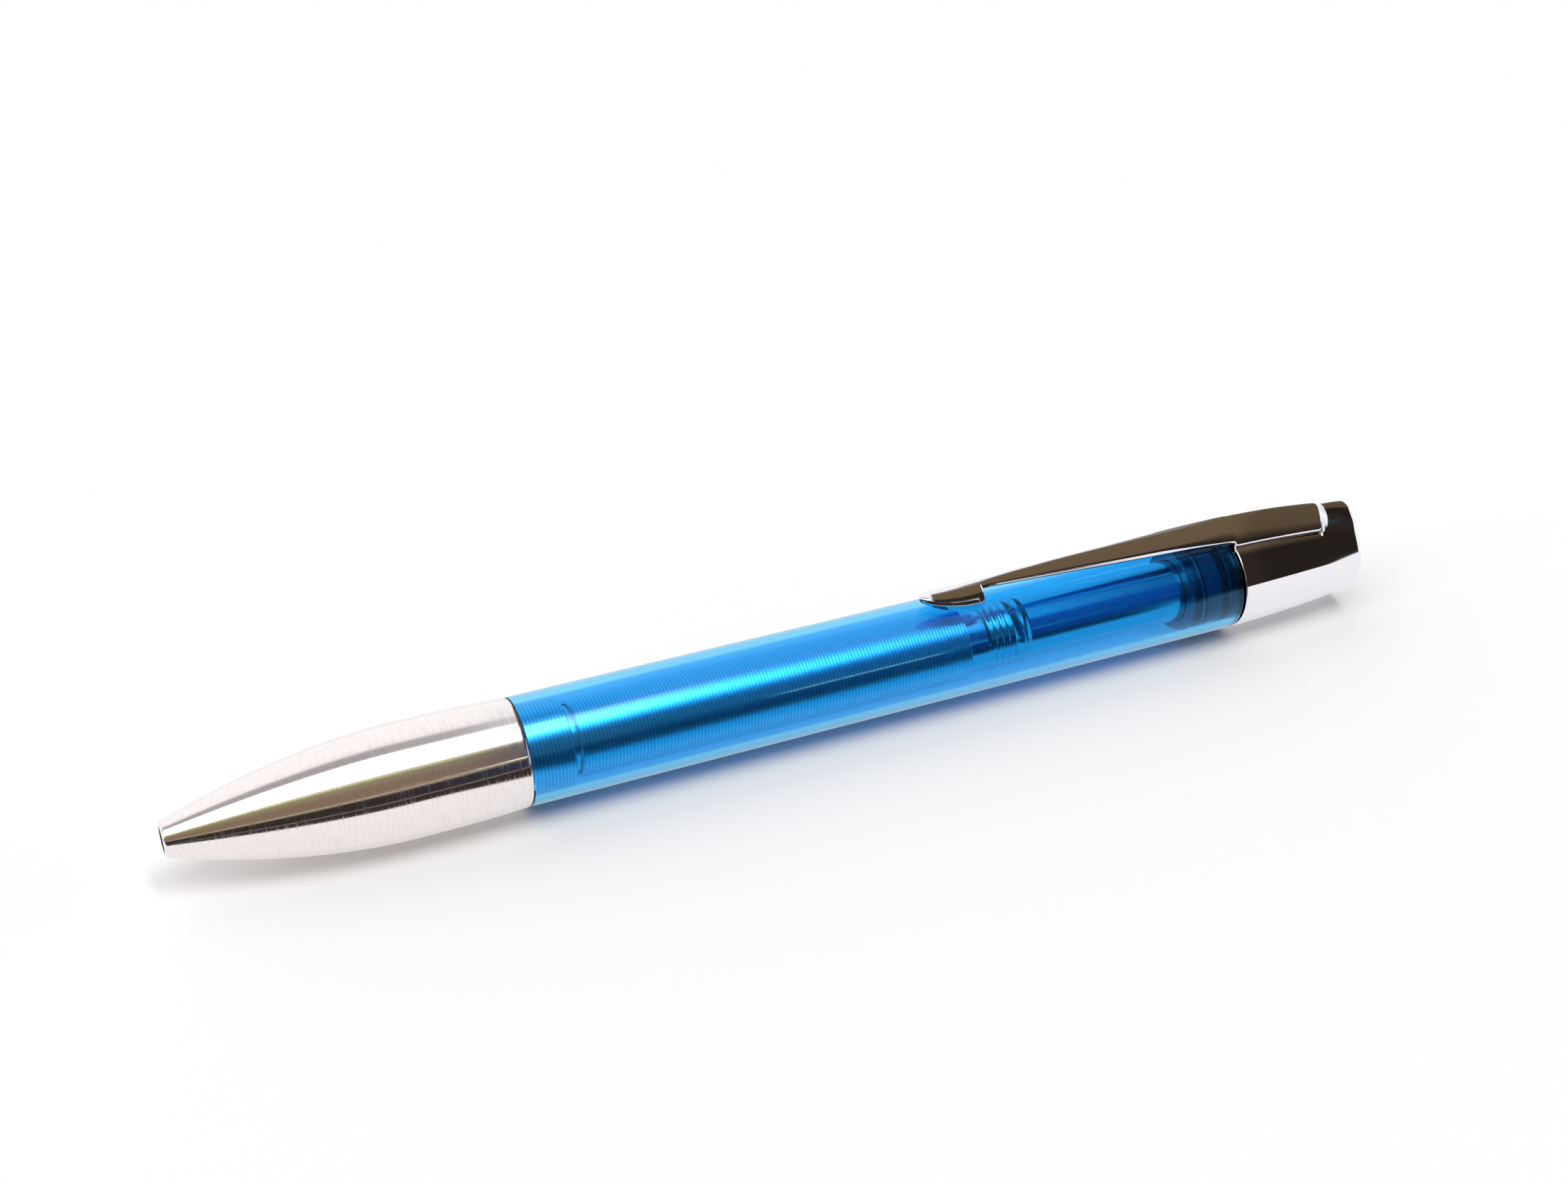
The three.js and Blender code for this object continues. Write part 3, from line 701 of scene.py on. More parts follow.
@dataclass
class Nose:
    """The swelling steel nose, with its bore, its spring seat and its threaded spigot."""

    length: float = 34.2
    face: float = 34.3  # of the flange behind the chamfer
    full: float = 5.75  # radius at the swell
    joint: float = 5.5  # radius where it meets the barrel
    lip: float = 1.7
    hole: float = 1.25
    swell_front: float = 22.5
    swell_rear: float = 25.5
    fullness: float = 1.8
    chamfer: float = 0.2
    spigot: float = 3.65
    spigot_end: float = 37.95
    pitch: float = 0.75

    def radius(self, station: float) -> float:
        """Gives the nose's radius at a station.

        Args:
            station: mm from the nose's face.

        Returns:
            The radius in mm.
        """
        if station < self.swell_front:
            back = (self.swell_front - station) / self.swell_front
            return self.full - (self.full - self.lip) * back**self.fullness
        past = max(0.0, station - self.swell_rear) / (self.length - self.swell_rear)
        return self.full - (self.full - self.joint) * past**2

    def profile(self) -> list[tuple[float, float]]:
        """Gives the section of the whole piece, once round."""
        rounding = 0.42
        lip = []
        for k in range(7):
            turn = math.pi / 2 * k / 6
            lip.append(
                (rounding * (1 - math.cos(turn)), self.radius(rounding) - rounding * (1 - math.sin(turn)))
            )
        outside = [
            (x, self.radius(x)) for x in np.concatenate([np.linspace(0.6, 8, 26), np.linspace(8.6, 33.9, 48)])
        ]
        threads: list[tuple[float, float]] = []
        start = self.length + 0.4
        while start + self.pitch < self.spigot_end:
            threads += [
                (start, self.spigot - 0.2),
                (start + 0.3, self.spigot),
                (start + 0.45, self.spigot),
                (start + self.pitch - 0.02, self.spigot - 0.2),
            ]
            start += self.pitch
        return [
            (0.0, self.hole + 0.03),
            *lip,
            *outside,
            (self.face - self.chamfer, self.radius(self.length - self.chamfer)),
            (self.face, self.joint - 0.4 * self.chamfer),
            (self.face, self.spigot - 0.2),
            *threads,
            (self.spigot_end, self.spigot - 0.2),
            (self.spigot_end, 3.15),
            (8.2, 3.15),
            (8.2, 2.45),
            (4.2, 2.45),
            (4.2, self.hole),
            (0.03, self.hole),
        ]

    def build(self, steel: bpy.types.Material) -> None:
        """Makes the nose.

        Args:
            steel: its finish.
        """
        piece = build_mesh("nose_turned", turned(self.profile(), 256), 28)
        install(piece, Body.BARREL, steel, ["nose_cone"])


@dataclass
class Barrel:
    """The clear blue tube between the nose and the cap."""

    start: float = 34.36
    end: float = 115.5
    radius: float = 5.5
    bore: float = 4.65
    chamfer: float = 0.1

    def build(self, acrylic: bpy.types.Material) -> None:
        """Makes the tube.

        Args:
            acrylic: its finish.
        """
        stations = [round(float(x), 3) for x in np.linspace(self.start + 0.4, self.end - 0.4, 28)]
        profile = [
            (self.start, self.bore + self.chamfer),
            (self.start, self.radius - self.chamfer),
            (self.start + self.chamfer, self.radius),
            *((x, self.radius) for x in stations),
            (self.end - self.chamfer, self.radius),
            (self.end, self.radius - self.chamfer),
            (self.end, self.bore + self.chamfer),
            (self.end - self.chamfer, self.bore),
            *((x, self.bore) for x in reversed(stations)),
            (self.start + self.chamfer, self.bore),
        ]
        piece = build_mesh("barrel_clear_tube", turned(profile, 256), 30)
        install(piece, Body.BARREL, acrylic, ["barrel_tube"])


@dataclass
class Works:
    """What shows through the barrel: the front bush, the inner sleeve, the housing and its ring."""

    bush_end: float = 38.95
    sleeve_start: float = 39.8
    sleeve_end: float = 82.7
    sleeve: float = 3.95
    thread_start: float = 85.3
    pitch: float = 0.75
    ridges: int = 4
    collar: float = 89.2
    housing: float = 3.4
    crest: float = 3.65
    housing_end: float = 110.6
    ring_start: float = 109.1
    ring_end: float = 110.9
    slot_start: float = 102.8
    slot_end: float = 109.5
    slot_half: float = 0.6
    slot_turn: float = 53.5  # degrees up from the level, of the two straight slots

    def bush(self) -> list[tuple[float, float]]:
        """Gives the front bush's section, once round."""
        return [
            (34.5, 3.75),
            (34.5, 4.45),
            (34.6, 4.55),
            (self.bush_end - 0.08, 4.55),
            (self.bush_end, 4.47),
            (self.bush_end, 3.45),
            (42.65, 3.45),
            (42.65, 3.15),
            (38.25, 3.15),
            (38.25, 3.75),
        ]

    def tube(self) -> list[tuple[float, float]]:
        """Gives the inner sleeve's section, once round."""
        return [
            (self.sleeve_start, 3.55),
            (self.sleeve_start, self.sleeve - 0.08),
            (self.sleeve_start + 0.08, self.sleeve),
            (self.sleeve_end - 0.08, self.sleeve),
            (self.sleeve_end, self.sleeve - 0.08),
            (self.sleeve_end, 3.55),
        ]

    def housing_section(self) -> list[tuple[float, float]]:
        """Gives the mechanism housing's section, once round, with rounded thread ridges."""
        outside = [
            (78.7, 3.0),
            (78.7, 3.45),
            (self.thread_start - 0.45, 3.45),
            (self.thread_start - 0.3, 3.45),
        ]
        for k in range(self.ridges):
            start = self.thread_start + k * self.pitch
            for share in np.linspace(0, 1, 9)[:-1]:
                swell = math.sin(math.pi * share) ** 4
                reach = lerp(self.housing - 0.02, self.crest - 0.05, swell)
                outside.append((start + share * self.pitch, reach))
        outside += [
            (self.collar - 0.05, self.housing),
            (self.collar, self.housing + 0.08),
            (self.collar + 0.12, self.crest - 0.05),
            (self.collar + 0.3, self.crest - 0.05),
            (self.collar + 0.7, self.housing + 0.04),
            (self.collar + 0.8, self.housing),
            *((float(x), self.housing) for x in np.linspace(self.collar + 0.95, self.housing_end, 24)),
            (self.housing_end, 3.0),
        ]
        return outside

    def ring(self) -> list[tuple[float, float]]:
        """Gives the housing ring's section, once round: two thin flanges with a wide groove between them."""
        return [
            (self.ring_start, 3.5),
            (self.ring_start, 4.5),
            (self.ring_start + 0.05, 4.55),
            (self.ring_start + 0.2, 4.55),
            (self.ring_start + 0.25, 4.5),
            (self.ring_start + 0.25, 3.75),
            (self.ring_end - 0.3, 3.75),
            (self.ring_end - 0.3, 4.5),
            (self.ring_end - 0.25, 4.55),
            (self.ring_end - 0.05, 4.55),
            (self.ring_end, 4.5),
            (self.ring_end, 3.5),
        ]

    def slots(self) -> Shape:
        """Makes the cutter of the two straight slots that guide the follower pin."""
        turn = math.radians(self.slot_turn)
        out = (math.cos(turn), math.sin(turn))
        side = (-math.sin(turn), math.cos(turn))
        rows = []
        for x in (self.slot_start, self.slot_end):
            rows.append(
                [
                    (x, out[0] * a + side[0] * b, out[1] * a + side[1] * b)
                    for a, b in (
                        (-5, -self.slot_half),
                        (5, -self.slot_half),
                        (5, self.slot_half),
                        (-5, self.slot_half),
                    )
                ]
            )
        shape = Shape().grid(rows)
        shape.ends(4)
        return shape

    def build(
        self, aluminium: bpy.types.Material, plain: bpy.types.Material, dull: bpy.types.Material
    ) -> None:
        """Makes the inner pieces.

        Args:
            aluminium: finish of the bush and the sleeve.
            plain: finish of the housing.
            dull: finish of the ring at the housing's end.
        """
        pieces = (
            ("bush_turned", self.bush(), aluminium, "front_bush"),
            ("sleeve_turned", self.tube(), aluminium, "inner_sleeve"),
            ("housing_threaded", self.housing_section(), plain, "mechanism_housing"),
            ("housing_end_ring", self.ring(), dull, "housing_ring"),
        )
        for name, profile, material, solid in pieces:
            piece = build_mesh(name, turned(profile, 160), 32)
            if solid == "mechanism_housing":
                cut(piece, build_mesh("slot_knife", self.slots(), 30))
                piece.data.shade_smooth()
                piece.data.set_sharp_from_angle(angle=math.radians(32))
            install(piece, Body.BARREL, material, [solid])


@dataclass
class Crown:
    """Cross-section of a crowned bar: short upright sides, rounded shoulders and a parabola over the top."""

    side: float = 0.14
    shoulder: float = 0.12
    steps: int = 14

    def ring(
        self, x: float, half: float, edge: float, crest: float, hollow: float, foot: float | None = None
    ) -> Ring:
        """Gives one section.

        Args:
            x: station along the pen.
            half: half its width.
            edge: height of its lower edges.
            crest: height of its top.
            hollow: height of the hollow under it.
            foot: where its sides end, if that is lower than its edges.

        Returns:
            The section's points, once round.
        """
        side = min(self.side, (crest - edge) / 3)
        corner = min(self.shoulder, half / 4, (crest - edge) / 4)
        reach = half - corner
        drop = crest - edge - side - corner
        top = []
        for k in range(-self.steps, self.steps + 1):
            share = k / self.steps
            top.append((x, reach * share, crest - drop * share**2))
        near = []
        for k in range(1, 4):
            turn = math.pi / 2 * k / 4
            near.append((reach + corner * math.cos(turn), edge + side + corner * math.sin(turn)))
        left = [(x, -y, z) for y, z in near]
        right = [(x, y, z) for y, z in reversed(near)]
        inner = half * 0.62
        foot = edge if foot is None else foot
        low = lerp(foot, hollow, 0.72)
        return [
            (x, -half, foot),
            (x, -half, edge + side),
            *left,
            *top,
            *right,
            (x, half, edge + side),
            (x, half, foot),
            (x, inner, low),
            (x, 0.0, hollow),
            (x, -inner, low),
        ]

    def leans(self, over: Callable[[float], float], side: float | None) -> list[float | None]:
        """Gives how far each point of a section leans over to the near side, in degrees from level.

        Args:
            over: the lean at a share of the half width, with that share 1 at the near edge and -1 at the far
                edge.
            side: the lean of the upright sides, or None where the mesh decides.

        Returns:
            The lean of each point, or None where the mesh decides.
        """
        angles = [lerp(90.0 if side is None else side, over(1.0), k / 4) for k in range(1, 4)]
        angles += [over(-k / self.steps) for k in range(-self.steps, self.steps + 1)]
        angles += [lerp(over(-1.0), -90.0, k / 4) for k in range(1, 4)]
        return [side, side, *angles, None, None, None, None, None]


@dataclass
class Clip:
    """The sprung clip: a spoon-shaped pad, an arm that widens to the cap and a root that lies in its recess.

    Its shading normals are pressed into it, not taken from its surface. They lean over as a folded sheet's
    would, and they tip back by what makes the whole arm mirror one part of the room from the photo's angle.
    """

    start: float = 78.3
    length: float = 49.6
    pad: float = 6.9
    tip: float = 5.0  # length of the pad's round tip
    half: float = 2.1
    neck: float = 0.75
    root: float = 11.7
    corner: float = 0.9
    roll: float = 0.14  # radius of the rear edge
    rim_lean: float = 104.0  # degrees from level, of the pad's rim, which tucks under a little
    heel_lean: float = 66.0  # degrees from level, of the sides where the pad ends and the arm starts
    mirrored: float = 0.565  # x of the direction that the arm mirrors, seen from the photo's angle
    view_tip: float = 0.385  # x of the line of sight at the clip's tip
    view_root: float = 0.53  # x of the line of sight at the clip's root
    highest: float = 7.815
    barrel: float = 5.5
    lift: float = 0.75

    def crest(self) -> Callable[[float], float]:
        """Gives the line of the clip's crest behind the pad."""
        return curve_through(
            [
                (6.9, 7.0),
                (9.9, 7.28),
                (16.37, 7.60),
                (24.8, 7.75),
                (32.7, 7.82),
                (37.9, 7.76),
                (43.75, 7.44),
                (49.6, 6.78),
            ]
        )

    def edge(self) -> Callable[[float], float]:
        """Gives the line of the arm's lower edges."""
        return curve_through([(6.9, 6.67), (16.37, 6.42), (24.8, 6.17), (32.7, 6.0), (37.9, 5.66)])

    def pad_ring(self, along: float, crown: Crown) -> Ring:
        """Gives a section of the pad.

        Args:
            along: mm from the clip's tip.
            crown: the section's form.

        Returns:
            The section.
        """
        nose = max(0.0, 1 - along / self.tip)
        heel = max(0.0, along - (self.pad - self.corner)) / self.corner
        half = self.half * math.sqrt(1 - nose**2) - 0.5 * heel**2
        lift = self.lift * (1 - along / self.pad) ** 2
        under = self.barrel + 0.2
        edge = math.sqrt(under**2 - half**2) + lift
        crest = self.barrel + 1.25 + 0.2 * lift + 0.25 * (along / self.pad) ** 2
        return crown.ring(self.start + along, half, edge, crest, under + lift)

    def seat(self, along: float) -> float:
        """Gives the height of the cap's seat under a place on the clip."""
        return 4.55 - math.tan(math.radians(2.1)) * (self.start + along - 115.8)

    def rear_edge(self, along: float) -> float:
        """Gives how far the top has rolled down at the clip's rear edge."""
        into = max(0.0, min(1.0, (along - (self.length - self.roll)) / self.roll))
        return self.roll * (1 - math.sqrt(1 - into**2 * 0.98))

    def lean(self, along: float, share: float) -> float:
        """Gives how far the pressed form leans over to the near side, in degrees from level.

        The pad and the arm have a narrow ridge that tips to the far side and a flat flank under it that is
        rolled at its edge. The root is a shallow crown.

        Args:
            along: mm from the clip's tip.
            share: share of the half width, 1 at the near edge and -1 at the far edge.
        """
        pad = float(
            np.interp(
                share,
                (-1, -0.5, 0.08, 0.15, 0.55, 0.66, 0.77, 0.83, 1),
                (-40, -16, -12, 9, 22, 34, 50, 88, 100),
            )
        )
        arm = float(np.interp(share, (-1, -0.5, 0.08, 0.15, 0.86, 0.93, 1), (-40, -16, -12, 9, 23, 40, 92)))
        root = float(np.interp(abs(share), (0, 0.5, 0.75, 1), (0, 19, 27, 36)))
        root = math.copysign(root, share)
        to_arm = max(0.0, min(1.0, (along - 6.3) / 0.9))
        to_root = max(0.0, min(1.0, (along - 28.0) / 8.0))
        heel = float(np.interp(along, (5.9, 6.3, 8.2, 9.2), (180, 46, 46, 180)))
        return min(heel, lerp(lerp(pad, arm, to_arm), root, to_root))

    def tip_back(self, along: float, over: float) -> float:
        """Gives how far the pressed faces tip back, so that the whole arm mirrors one part of the room.

        It is worked out for the photo's angle, whose line of sight is 0.51 forward and 0.76 down.

        Args:
            along: mm from the clip's tip.
            over: how far the face leans over to the near side, in radians.

        Returns:
            The slope, as rise over run.
        """
        missing = self.mirrored - lerp(self.view_tip, self.view_root, min(1.0, along / 38))
        return missing / (2 * max(0.25, 0.51 * math.cos(over) + 0.76 * math.sin(over)))

    def build(self, chrome: bpy.types.Material) -> None:
        """Makes the clip.

        Args:
            chrome: its finish.
        """
        pad = Crown(side=0.42, shoulder=0.14)
        arm = Crown()
        line = self.crest()
        edge = self.edge()
        joint = self.length - self.root
        turns = np.linspace(0.06, math.pi / 2, 22)
        places = [float(self.tip * (1 - math.cos(t))) for t in turns]
        places += [float(x) for x in (*np.linspace(5.3, 6.6, 8), 6.75, 6.84, 6.89)]
        rings = [self.pad_ring(x, pad) for x in places]
        slopes = [-0.04] * len(rings)
        arms = [6.95, 7.05, 7.2, *(float(x) for x in np.linspace(7.5, joint - 0.35, 64))]
        roots = [float(x) for x in (joint - 0.25, joint - 0.1, joint + 0.05, *np.linspace(38.2, 48.7, 30))]
        roots += [float(self.length - self.corner * (1 - math.sin(t))) for t in turns[4:]]

        def top(along: float) -> float:
            return min(line(along), self.highest) - self.rear_edge(along)

        for along in arms:
            run = (along - self.pad) / (joint - self.pad)
            half = lerp(self.neck, self.half, run**0.9)
            low = edge(along)
            rings.append(arm.ring(self.start + along, half, low, top(along), max(low, top(along) - 0.75)))
        for along in roots:
            from_rear = max(0.0, min(1.0, (self.length - along) / self.corner))
            half = self.half - self.corner * (1 - math.sqrt(max(0.0, 1 - (1 - from_rear) ** 2)))
            skin = math.sqrt(Cap().radius(max(self.start + along, 115.8)) ** 2 - self.half**2) + 0.06
            low = lerp(edge(joint - 0.35), skin, min(1.0, (along - (joint - 0.35)) / 0.4))
            foot = self.seat(along) + 0.25
            rings.append(arm.ring(self.start + along, half, low, top(along), foot, foot))
        for along in (*arms, *roots):
            places.append(along)
            slopes.append((top(min(along + 0.02, self.length)) - top(along - 0.02)) / 0.04)
        shape = Shape().grid(rings)
        shape.ends(len(rings[0]))
        piece = build_mesh("clip_sprung", shape, 40)
        normals = []
        for along, rise in zip(places, slopes):
            side = None
            if along < self.pad - 0.1:
                side = self.rim_lean
            elif along < self.pad + self.corner:
                side = self.heel_lean
            for lean in arm.leans(lambda share, a=along: self.lean(a, share), side):
                if lean is None:
                    normals.append((0.0, 0.0, 0.0))
                    continue
                over = math.radians(lean)
                slope = min(rise, -self.tip_back(along, over))
                if along < 1.4:
                    slope = lerp(0.3, slope, along / 1.4)
                facing = Vector((-slope, -math.sin(over), math.cos(over)))
                normals.append(tuple(facing.normalized()))
        piece.data.normals_split_custom_set_from_vertices(normals)
        install(piece, Body.CLIP, chrome, ["clip"])


@dataclass
class Cap:
    """The rear cap: its mirror shell with the clip's recess and hump, and its dark spigot in the barrel."""

    start: float = 115.8
    length: float = 16.2
    front: float = 5.5
    rim: float = 4.5
    edge: float = 0.6
    bore: float = 3.7
    bore_end: float = 129.4
    recess_half: float = 2.3
    recess_end: float = 128.08
    recess_corner: float = 1.1
    facets: int = 288

    def radius(self, station: float) -> float:
        """Gives the cap's radius at a station, with its rounded rear edge."""
        along = max(0.0, min(1.0, (station - self.start) / self.length))
        plain = lerp(self.front, self.rim, along**1.6)
        end = self.start + self.length
        if station > end - self.edge:
            into = (station - (end - self.edge)) / self.edge
            return plain - self.edge * (1 - math.sqrt(max(0.0, 1 - into**2)))
        return plain

    def hump(self, station: float, angle: float) -> float:
        """Gives how far out the hump reaches at a station, in a direction round the axis.

        Args:
            station: mm from the nose's face.
            angle: from straight up, in radians.

        Returns:
            The distance from the axis, or 0 where the hump isn't.
        """
        share = (station - 127.3) / 4.6
        if share < 0 or abs(angle) > 1.0:
            return 0.0
        crest = 6.6 - 0.35 * share - 0.6 * max(0.0, share - 0.6) ** 2
        end = self.start + self.length
        if station > end - 0.45:
            into = min(1.0, (station - (end - 0.45)) / 0.45)
            crest -= 0.45 * (1 - math.sqrt(max(0.0, 1 - into**2)))
        seat = 4.55 - math.tan(math.radians(2.1)) * (station - self.start)
        drop = (crest - seat + 0.8) / (2.4 + 0.5 * share) ** 2
        side = math.sin(angle)
        up = math.cos(angle)
        a = drop * side**2
        if a < 1e-9:
            return crest / up
        return (-up + math.sqrt(up**2 + 4 * a * crest)) / (2 * a)

    def skin(self, station: float, angle: float) -> float:
        """Gives the outer surface: the turned shell, run smoothly together with the hump.

        Args:
            station: mm from the nose's face.
            angle: from straight up, in radians.

        Returns:
            The distance from the axis.
        """
        shell = self.radius(station)
        hump = self.hump(station, angle)
        blend = 0.7
        near = max(0.0, 1 - abs(shell - hump) / blend)
        return max(shell, hump) + blend * near**2 / 4

    def seat(self, station: float) -> float:
        """Gives the height of the recess's floor."""
        return 4.55 - math.tan(math.radians(2.1)) * (station - self.start)

    def shell(self) -> Shape:
        """Makes the shell before its recess is cut: the skin outside and the blind bore inside."""
        end = self.start + self.length
        stations = [
            *np.linspace(self.start + 0.1, 127.0, 40),
            *np.linspace(127.15, end - 0.62, 30),
            *(end - self.edge * (1 - math.sin(t)) for t in np.linspace(0, math.pi / 2, 12)),
        ]
        rows: list[Ring] = []

        def circle(station: float, radius: float) -> Ring:
            return [
                (
                    station,
                    radius * math.sin(math.tau * k / self.facets),
                    radius * math.cos(math.tau * k / self.facets),
                )
                for k in range(self.facets)
            ]

        rows.append(circle(self.bore_end, 0.02))
        rows.append(circle(self.bore_end, self.bore))
        rows.append(circle(self.start, self.bore))
        rows.append(circle(self.start, self.front - 0.1))
        rows.append(circle(self.start + 0.02, self.front - 0.05))
        rows.append(circle(self.start + 0.05, self.front - 0.015))
        for station in stations:
            row = []
            for k in range(self.facets):
                angle = math.tau * k / self.facets
                turn = angle if angle <= math.pi else angle - math.tau
                reach = self.skin(float(station), turn)
                row.append((float(station), reach * math.sin(angle), reach * math.cos(angle)))
            rows.append(row)
        rows.append([(end, y * 0.9, z * 0.9) for _, y, z in rows[-1]])
        rows.append(circle(end, 0.02))
        shape = Shape().grid(rows)
        shape.ends(self.facets)
        return shape

    def recess_outline(self, start: float) -> list[tuple[float, float, float, float]]:
        """Gives the line of the clip's recess seen from above.

        Args:
            start: station where it starts.

        Returns:
            Its points and the way out of the recess at each of them.
        """
        corner = self.recess_corner
        middle = self.recess_end - corner
        near = [(float(x), -self.recess_half, 0.0, -1.0) for x in np.linspace(start, middle - 0.1, 34)]
        for t in np.linspace(-math.pi / 2, 0, 16):
            x = middle + corner * math.cos(t)
            y = -self.recess_half + corner + corner * math.sin(t)
            near.append((x, y, math.cos(t), math.sin(t)))
        return near + [(x, -y, nx, -ny) for x, y, nx, ny in reversed(near)]

    def rounding(self, rearward: float) -> float:
        """Gives the radius of the recess's upper edge, in mm.

        Args:
            rearward: the rearward part of the way out of the recess, 0 at its sides and 1 at its rear.
        """
        return lerp(0.1, 0.56, max(0.0, rearward) ** 3)

    def cutter(self) -> Shape:
        """Makes the cutter of the clip's recess with room for its edge moulding."""
        low: Ring = []
        high: Ring = []
        for x, y, nx, ny in self.recess_outline(self.start - 1):
            out = self.rounding(nx)
            low.append((x + nx * out, y + ny * out, self.seat(x)))
            high.append((x + nx * out, y + ny * out, 10.0))
        shape = Shape().grid([low, high])
        shape.ends(len(low))
        return shape

    def moulding(self) -> Shape:
        """Makes the rounded edge that runs round the clip's recess."""
        rows = []
        for x, y, nx, ny in self.recess_outline(self.start + 0.02):
            radius = self.rounding(nx)
            outer = (x + nx * radius, y + ny * radius)
            top = self.surface(*outer)
            foot = self.seat(x) - 0.02
            row = [(x, y, foot)]
            for turn in np.linspace(0, math.pi / 2, 12):
                out = radius * (1 - math.cos(turn))
                row.append((x + nx * out, y + ny * out, top - radius * (1 - math.sin(turn))))
            row.append((*outer, foot))
            rows.append(row)
        shape = Shape().grid(rows)
        shape.ends(len(rows[0]))
        return shape

    def surface(self, station: float, across: float) -> float:
        """Gives the height of the skin over a point seen from above.

        Args:
            station: mm from the nose's face.
            across: mm from the pen's middle.

        Returns:
            The height over the axis.
        """
        low, high = 2.0, 7.5
        for _ in range(30):
            middle = (low + high) / 2
            angle = math.atan2(across, middle)
            if math.hypot(across, middle) < self.skin(station, angle):
                low = middle
            else:
                high = middle
        return low

    def smooth_skin(self, mesh: bpy.types.Mesh) -> None:
        """Sets exact normals on what is left of the skin, so that the cut leaves no marks in its mirror.

        Args:
            mesh: the shell after the cut.
        """
        normals = []
        step = 0.01
        for face in mesh.polygons:
            middle = face.center
            place = (middle.x / MM - NOSE_FACE, middle.y / MM, middle.z / MM - AXIS_HEIGHT)
            angle = math.atan2(place[1], place[2])
            on_skin = (
                self.start + 0.1 < place[0] < self.start + self.length - 0.02
                and abs(math.hypot(place[1], place[2]) - self.skin(place[0], angle)) < 0.03
            )
            for index in face.vertices:
                if not on_skin:
                    normals.append((0.0, 0.0, 0.0))
                    continue
                co = mesh.vertices[index].co
                x, y, z = co.x / MM - NOSE_FACE, co.y / MM, co.z / MM - AXIS_HEIGHT
                turn = math.atan2(y, z)
                reach = self.skin(x, turn)
                back = min(x - step, self.start + self.length - 2 * step)
                along = (self.skin(back + 2 * step, turn) - self.skin(back, turn)) / (2 * step)
                round_it = (self.skin(x, turn + step) - self.skin(x, turn - step)) / (2 * step) / reach
                outward = Vector((0.0, math.sin(turn), math.cos(turn)))
                sideways = Vector((0.0, math.cos(turn), -math.sin(turn)))
                normal = outward - Vector((along, 0.0, 0.0)) - sideways * round_it
                normals.append(tuple(normal.normalized()))
        mesh.normals_split_custom_set(normals)

    def spigot(self) -> list[tuple[float, float]]:
        """Gives the section of the dark spigot, once round, with its rubber ring's groove."""
        return [
            (111.2, 3.55),
            (111.2, 4.42),
            (111.28, 4.5),
            (113.15, 4.5),
            (113.15, 3.8),
            (114.05, 3.8),
            (114.05, 4.5),
            (114.3, 4.5),
            (114.3, 3.6),
            (121.7, 3.6),
            (121.7, 1.85),
            (113.2, 1.85),
            (113.2, 2.8),
            (112.0, 2.8),
            (112.0, 3.55),
        ]

    def collar(self) -> list[tuple[float, float]]:
        """Gives the section of the spigot's black collar, once round."""
        return [
            (114.32, 3.62),
            (114.32, 4.46),
            (114.4, 4.52),
            (115.42, 4.52),
            (115.5, 4.46),
            (115.5, 3.62),
        ]

    def build(
        self, chrome: bpy.types.Material, graphite: bpy.types.Material, black: bpy.types.Material
    ) -> None:
        """Makes the shell with its recess and that recess's edge, the spigot and its collar.

        Args:
            chrome: finish of the shell.
            graphite: finish of the spigot.
            black: finish of the collar.
        """
        piece = build_mesh("cap_mirror_shell", self.shell(), 35)
        knife = build_mesh("recess_knife", self.cutter(), 35)
        cut(piece, knife)
        piece.data.shade_smooth()
        piece.data.set_sharp_from_angle(angle=math.radians(35))
        self.smooth_skin(piece.data)
        install(piece, Body.CAP, chrome, ["cap_shell"])
        edge = build_mesh("cap_recess_edge", self.moulding(), 40)
        facings: list[tuple[float, float, float]] = []
        for _, _, nx, ny in self.recess_outline(self.start + 0.02):
            facings.append((0.0, 0.0, 0.0))
            for turn in np.linspace(0, math.pi / 2, 12):
                into = -0.15 - 0.5 * math.cos(turn)
                facings.append((nx * into, ny * into, math.sqrt(1 - into**2)))
            facings.append((0.0, 0.0, 0.0))
        edge.data.normals_split_custom_set_from_vertices(facings)
        install(edge, Body.CAP, chrome, ["cap_shell"])
        spigot = build_mesh("cap_dark_spigot", turned(self.spigot(), 128), 32)
        install(spigot, Body.CAP, graphite, ["cap_spigot"])
        collar = build_mesh("cap_black_collar", turned(self.collar(), 128), 32)
        install(collar, Body.CAP, black, ["cap_spigot"])


# Studio


